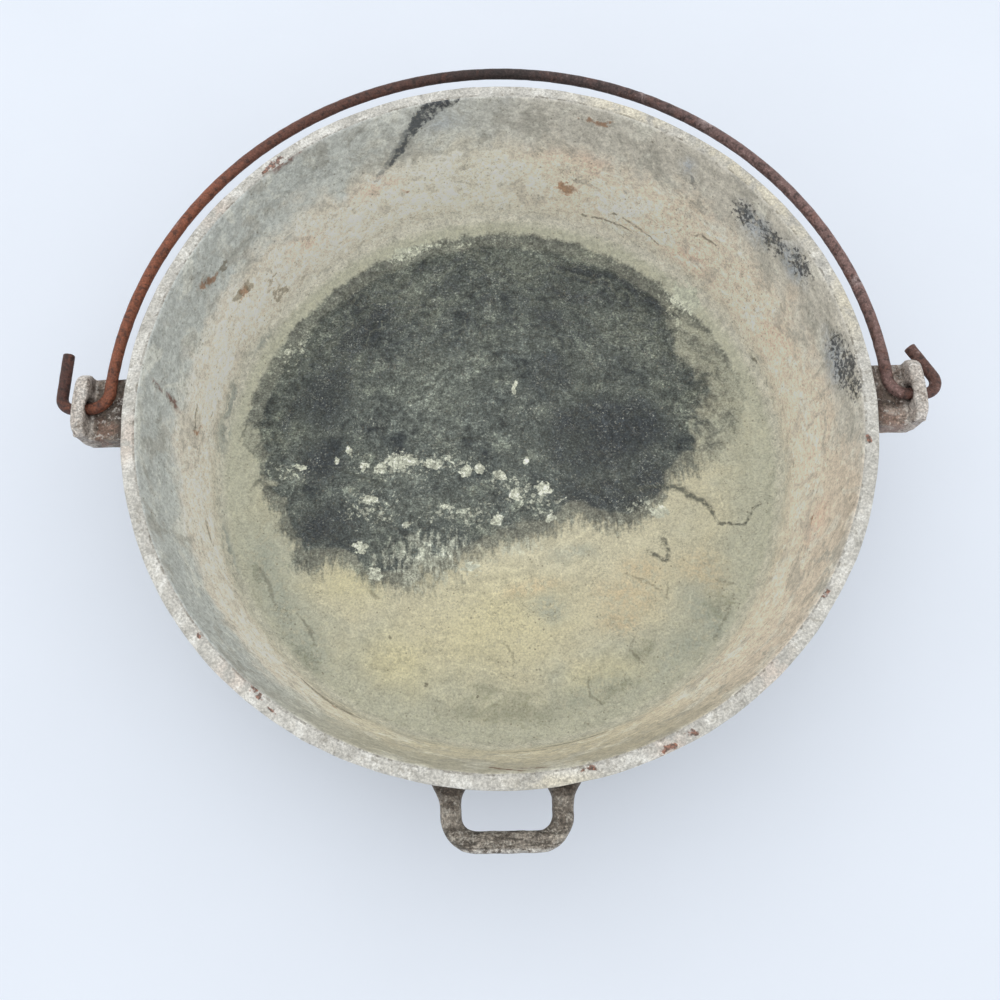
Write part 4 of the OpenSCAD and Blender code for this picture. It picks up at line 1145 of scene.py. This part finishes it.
class OvenBuildEars(bpy.types.Operator):
    """Casts the two pierced ears that carry the bail"""

    bl_idname = "oven.build_ears"
    bl_label = "Bail ears"

    def execute(self, context):
        s = context.scene.oven_ears
        finish = ear_finish(s)
        build_ear(s, 1, "ear_right", finish)
        build_ear(s, -1, "ear_left", finish)
        return {"FINISHED"}


class OvenBuildHandle(bpy.types.Operator):
    """Casts the looped tilt handle at the pot's front"""

    bl_idname = "oven.build_handle"
    bl_label = "Tilt handle"

    def execute(self, context):
        s = context.scene.oven_handle
        inner_x = s.opening_w / 2
        outer_x = inner_x + s.bar_w
        inner_y = s.outer_y - s.bar_w
        low = s.top_z - s.bar_t
        wall_r = WALL_MIDDLE_R + 0.0027
        end_x = outer_x + s.root + 0.0018
        end_y = on_circle(WALL_MIDDLE_R + 0.0015, end_x)
        bm = bmesh.new()
        outer = [
            (end_x, end_y - 0.0080),
            (end_x, end_y),
            (outer_x, on_circle(wall_r, outer_x)),
            (outer_x, s.outer_y),
            (-outer_x, s.outer_y),
            (-outer_x, on_circle(wall_r, outer_x)),
            (-end_x, end_y),
            (-end_x, end_y - 0.0080),
        ]
        verts, _ = wire_path(bm, [(px, -py, low) for px, py in outer])
        bm.edges.new((verts[-1], verts[0]))
        outer_corner = s.corner_r + s.bar_w
        for k, offset in ((2, s.root), (3, outer_corner), (4, outer_corner), (5, s.root)):
            round_vertex(bm, verts[k], offset, 12)
        inner = [(inner_x, wall_r), (inner_x, inner_y), (-inner_x, inner_y), (-inner_x, wall_r)]
        verts, _ = wire_path(bm, [(px, -py, low) for px, py in inner])
        bm.edges.new((verts[-1], verts[0]))
        for vert, offset in zip(verts, (s.inner_root, s.corner_r, s.corner_r, s.inner_root)):
            round_vertex(bm, vert, offset, 10)
        bmesh.ops.triangle_fill(bm, edges=bm.edges[:], use_beauty=True)
        made = bmesh.ops.extrude_face_region(bm, geom=bm.faces[:])
        top = [g for g in made["geom"] if isinstance(g, bmesh.types.BMVert)]
        bmesh.ops.translate(bm, vec=(0, 0, s.bar_t), verts=top)
        bmesh.ops.recalc_face_normals(bm, faces=bm.faces)
        # The caps are drawn in first, so that their rounding ends at the bar's own top and underside
        rounding = 0.0023
        for cap in ([f for f in bm.faces if f.normal.z > 0.9], [f for f in bm.faces if f.normal.z < -0.9]):
            sign = 1 if cap[0].normal.z > 0 else -1
            bmesh.ops.translate(bm, vec=(0, 0, -sign * rounding), verts=list({v for f in cap for v in f.verts}))
            round_cap(bm, cap, rounding)
        # The root ends within the wall's thickness
        core = bmesh.new()
        bmesh.ops.create_cone(core, cap_ends=True, segments=360, radius1=WALL_MIDDLE_R, radius2=WALL_MIDDLE_R, depth=0.4)
        bm = cast_soften(cut_away(bm, core), 0.0004, 4, "tilt_handle")
        roughen(bm, 0.0002, 0.0045, 6.0)
        make_piece("tilt_handle", bm, [handle_finish(s)], "pot", "pot")
        return {"FINISHED"}


class OvenBuildBail(bpy.types.Operator):
    """Bends the bail from one length of wire"""

    bl_idname = "oven.build_bail"
    bl_label = "Bail"

    def execute(self, context):
        s = context.scene.oven_bail
        start = math.asin(max(0.0, s.bend_r - s.arc_y) / (s.arc_r + s.bend_r))
        bend_x = (s.arc_r + s.bend_r) * math.cos(start)
        bm = bmesh.new()
        turn = Matrix.Translation((0, s.arc_y + s.arc_r, PIVOT_Z)) @ Matrix.Rotation(math.pi / 2, 4, "Y")
        bmesh.ops.create_circle(bm, cap_ends=False, segments=s.ring_sides, radius=s.wire_r, matrix=turn)
        first = bm.verts[:] + bm.edges[:]
        for side, hook_turn, hook_l in ((1, s.right_turn, s.right_l), (-1, s.left_turn, s.left_l)):
            place = Vector((0, s.arc_y + s.arc_r, PIVOT_Z))
            heading = 0.0 if side > 0 else math.pi
            ring = list(first)
            moves = (
                ("turn", s.arc_r, -(math.pi / 2 - start), 150),
                ("turn", s.bend_r, math.pi / 2 - start, 18),
                ("run", s.hook_x - bend_x, 0, 10),
                ("turn", s.hook_r, hook_turn, 20),
                ("run", hook_l, 0, 18),
            )
            for kind, size, angle, steps in moves:
                angle *= side
                if kind == "turn":
                    left = Vector((-math.sin(heading), math.cos(heading), 0)) * math.copysign(1, angle)
                    centre = place + left * size
                    out = bmesh.ops.spin(bm, geom=ring, cent=centre, axis=(0, 0, 1), angle=angle, steps=steps)
                    ring = out["geom_last"]
                    place = centre + Matrix.Rotation(angle, 3, "Z") @ (place - centre)
                    heading += angle
                else:
                    step = Vector((math.cos(heading), math.sin(heading), 0)) * (size / steps)
                    for _ in range(steps):
                        out = bmesh.ops.extrude_edge_only(bm, edges=[g for g in ring if isinstance(g, bmesh.types.BMEdge)])
                        ring = out["geom"]
                        bmesh.ops.translate(bm, vec=step, verts=[g for g in ring if isinstance(g, bmesh.types.BMVert)])
                        ring = [g for g in ring if not isinstance(g, bmesh.types.BMFace)]
                        place += step
            # the cut end, with its edge broken
            ahead = Vector((math.cos(heading), math.sin(heading), 0))
            for shrink, push in ((0.90, 0.00025), (0.70, 0.00015), (0.35, 0.00003)):
                out = bmesh.ops.extrude_edge_only(bm, edges=[g for g in ring if isinstance(g, bmesh.types.BMEdge)])
                verts = [g for g in out["geom"] if isinstance(g, bmesh.types.BMVert)]
                place += ahead * push
                bmesh.ops.translate(bm, vec=ahead * push, verts=verts)
                bmesh.ops.scale(bm, vec=(shrink, shrink, shrink), space=Matrix.Translation(-place), verts=verts)
                ring = [g for g in out["geom"] if not isinstance(g, bmesh.types.BMFace)]
            bmesh.ops.contextual_create(bm, geom=[g for g in ring if isinstance(g, bmesh.types.BMEdge)])
        bmesh.ops.recalc_face_normals(bm, faces=bm.faces)
        roughen(bm, 0.00011, 0.0034, 8.0, 0.6)
        make_piece("bail_wire", bm, [rusty_wire_finish(s)], "bail", "bail")
        return {"FINISHED"}


class OvenBuildStage(bpy.types.Operator):
    """Lays the pale floor, hangs the soft lights and sets the camera"""

    bl_idname = "oven.build_stage"
    bl_label = "Stage"

    def execute(self, context):
        s = context.scene.oven_stage
        bm = bmesh.new()
        under = Matrix.Translation((0, 0, -0.0003))
        bmesh.ops.create_grid(bm, x_segments=2, y_segments=2, size=s.floor_size / 2, matrix=under)
        floor = make_piece("floor", bm, [floor_finish(s)], None)

        world = bpy.data.worlds.new("soft_sky")
        world.use_nodes = True
        nodes, links = world.node_tree.nodes, world.node_tree.links
        back = nodes["Background"]
        back.inputs["Color"].default_value = (0.985, 0.99, 1.0, 1.0)
        back.inputs["Strength"].default_value = s.sky
        context.scene.world = world

        for name, place, size, power in (
            ("key_light", (-0.6, 0.5, 1.5), 1.6, s.key),
            ("fill_light", (0.7, -0.3, 1.5), 1.6, s.fill),
        ):
            lamp = bpy.data.lights.new(name, "AREA")
            lamp.shape = "DISK"
            lamp.size = size
            lamp.energy = power
            obj = bpy.data.objects.new(name, lamp)
            obj.location = place
            obj.rotation_euler = (Vector((0, 0, 0.04)) - Vector(place)).to_track_quat("-Z", "Y").to_euler()
            context.scene.collection.objects.link(obj)

        camera = bpy.data.cameras.new("camera")
        camera.sensor_width = 36.0
        camera.lens = s.lens
        camera.clip_start = 0.01
        obj = bpy.data.objects.new("camera", camera)
        obj.matrix_world = Matrix.Translation(s.eye) @ Matrix.Rotation(s.pitch, 4, "X") @ Matrix.Rotation(s.roll, 4, "Z")
        context.scene.collection.objects.link(obj)
        context.scene.camera = obj
        context.scene.view_settings.view_transform = "Standard"
        return {"FINISHED"}


class OvenPanel(bpy.types.Panel):
    """Lists the oven's sizes, colours and pieces"""

    bl_idname = "VIEW3D_PT_oven"
    bl_label = "Dutch Oven"
    bl_space_type = "VIEW_3D"
    bl_region_type = "UI"
    bl_category = "Oven"

    def draw(self, context):
        for group, operator in BUILD_ORDER:
            box = self.layout.box()
            settings = getattr(context.scene, group)
            for key in settings.bl_rna.properties.keys():
                if key not in ("rna_type", "name"):
                    box.prop(settings, key)
            box.operator(operator)


SETTINGS = (
    ("oven_pot", OvenPotSettings),
    ("oven_ears", OvenEarSettings),
    ("oven_handle", OvenHandleSettings),
    ("oven_bail", OvenBailSettings),
    ("oven_stage", OvenStageSettings),
)
BUILD_ORDER = (
    ("oven_stage", "oven.build_stage"),
    ("oven_pot", "oven.build_pot"),
    ("oven_ears", "oven.build_ears"),
    ("oven_handle", "oven.build_handle"),
    ("oven_bail", "oven.build_bail"),
)
OPERATORS = (OvenBuildStage, OvenBuildPot, OvenBuildEars, OvenBuildHandle, OvenBuildBail)


def register():
    for name, group in SETTINGS:
        bpy.utils.register_class(group)
        setattr(bpy.types.Scene, name, PointerProperty(type=group))
    for cls in (*OPERATORS, OvenPanel):
        bpy.utils.register_class(cls)


def unregister():
    for cls in reversed((*OPERATORS, OvenPanel)):
        bpy.utils.unregister_class(cls)
    for name, group in reversed(SETTINGS):
        delattr(bpy.types.Scene, name)
        bpy.utils.unregister_class(group)


def main():
    register()
    bpy.ops.oven.build_stage()
    bpy.ops.oven.build_pot()
    bpy.ops.oven.build_ears()
    bpy.ops.oven.build_handle()
    bpy.ops.oven.build_bail()


if __name__ == "__main__":
    main()
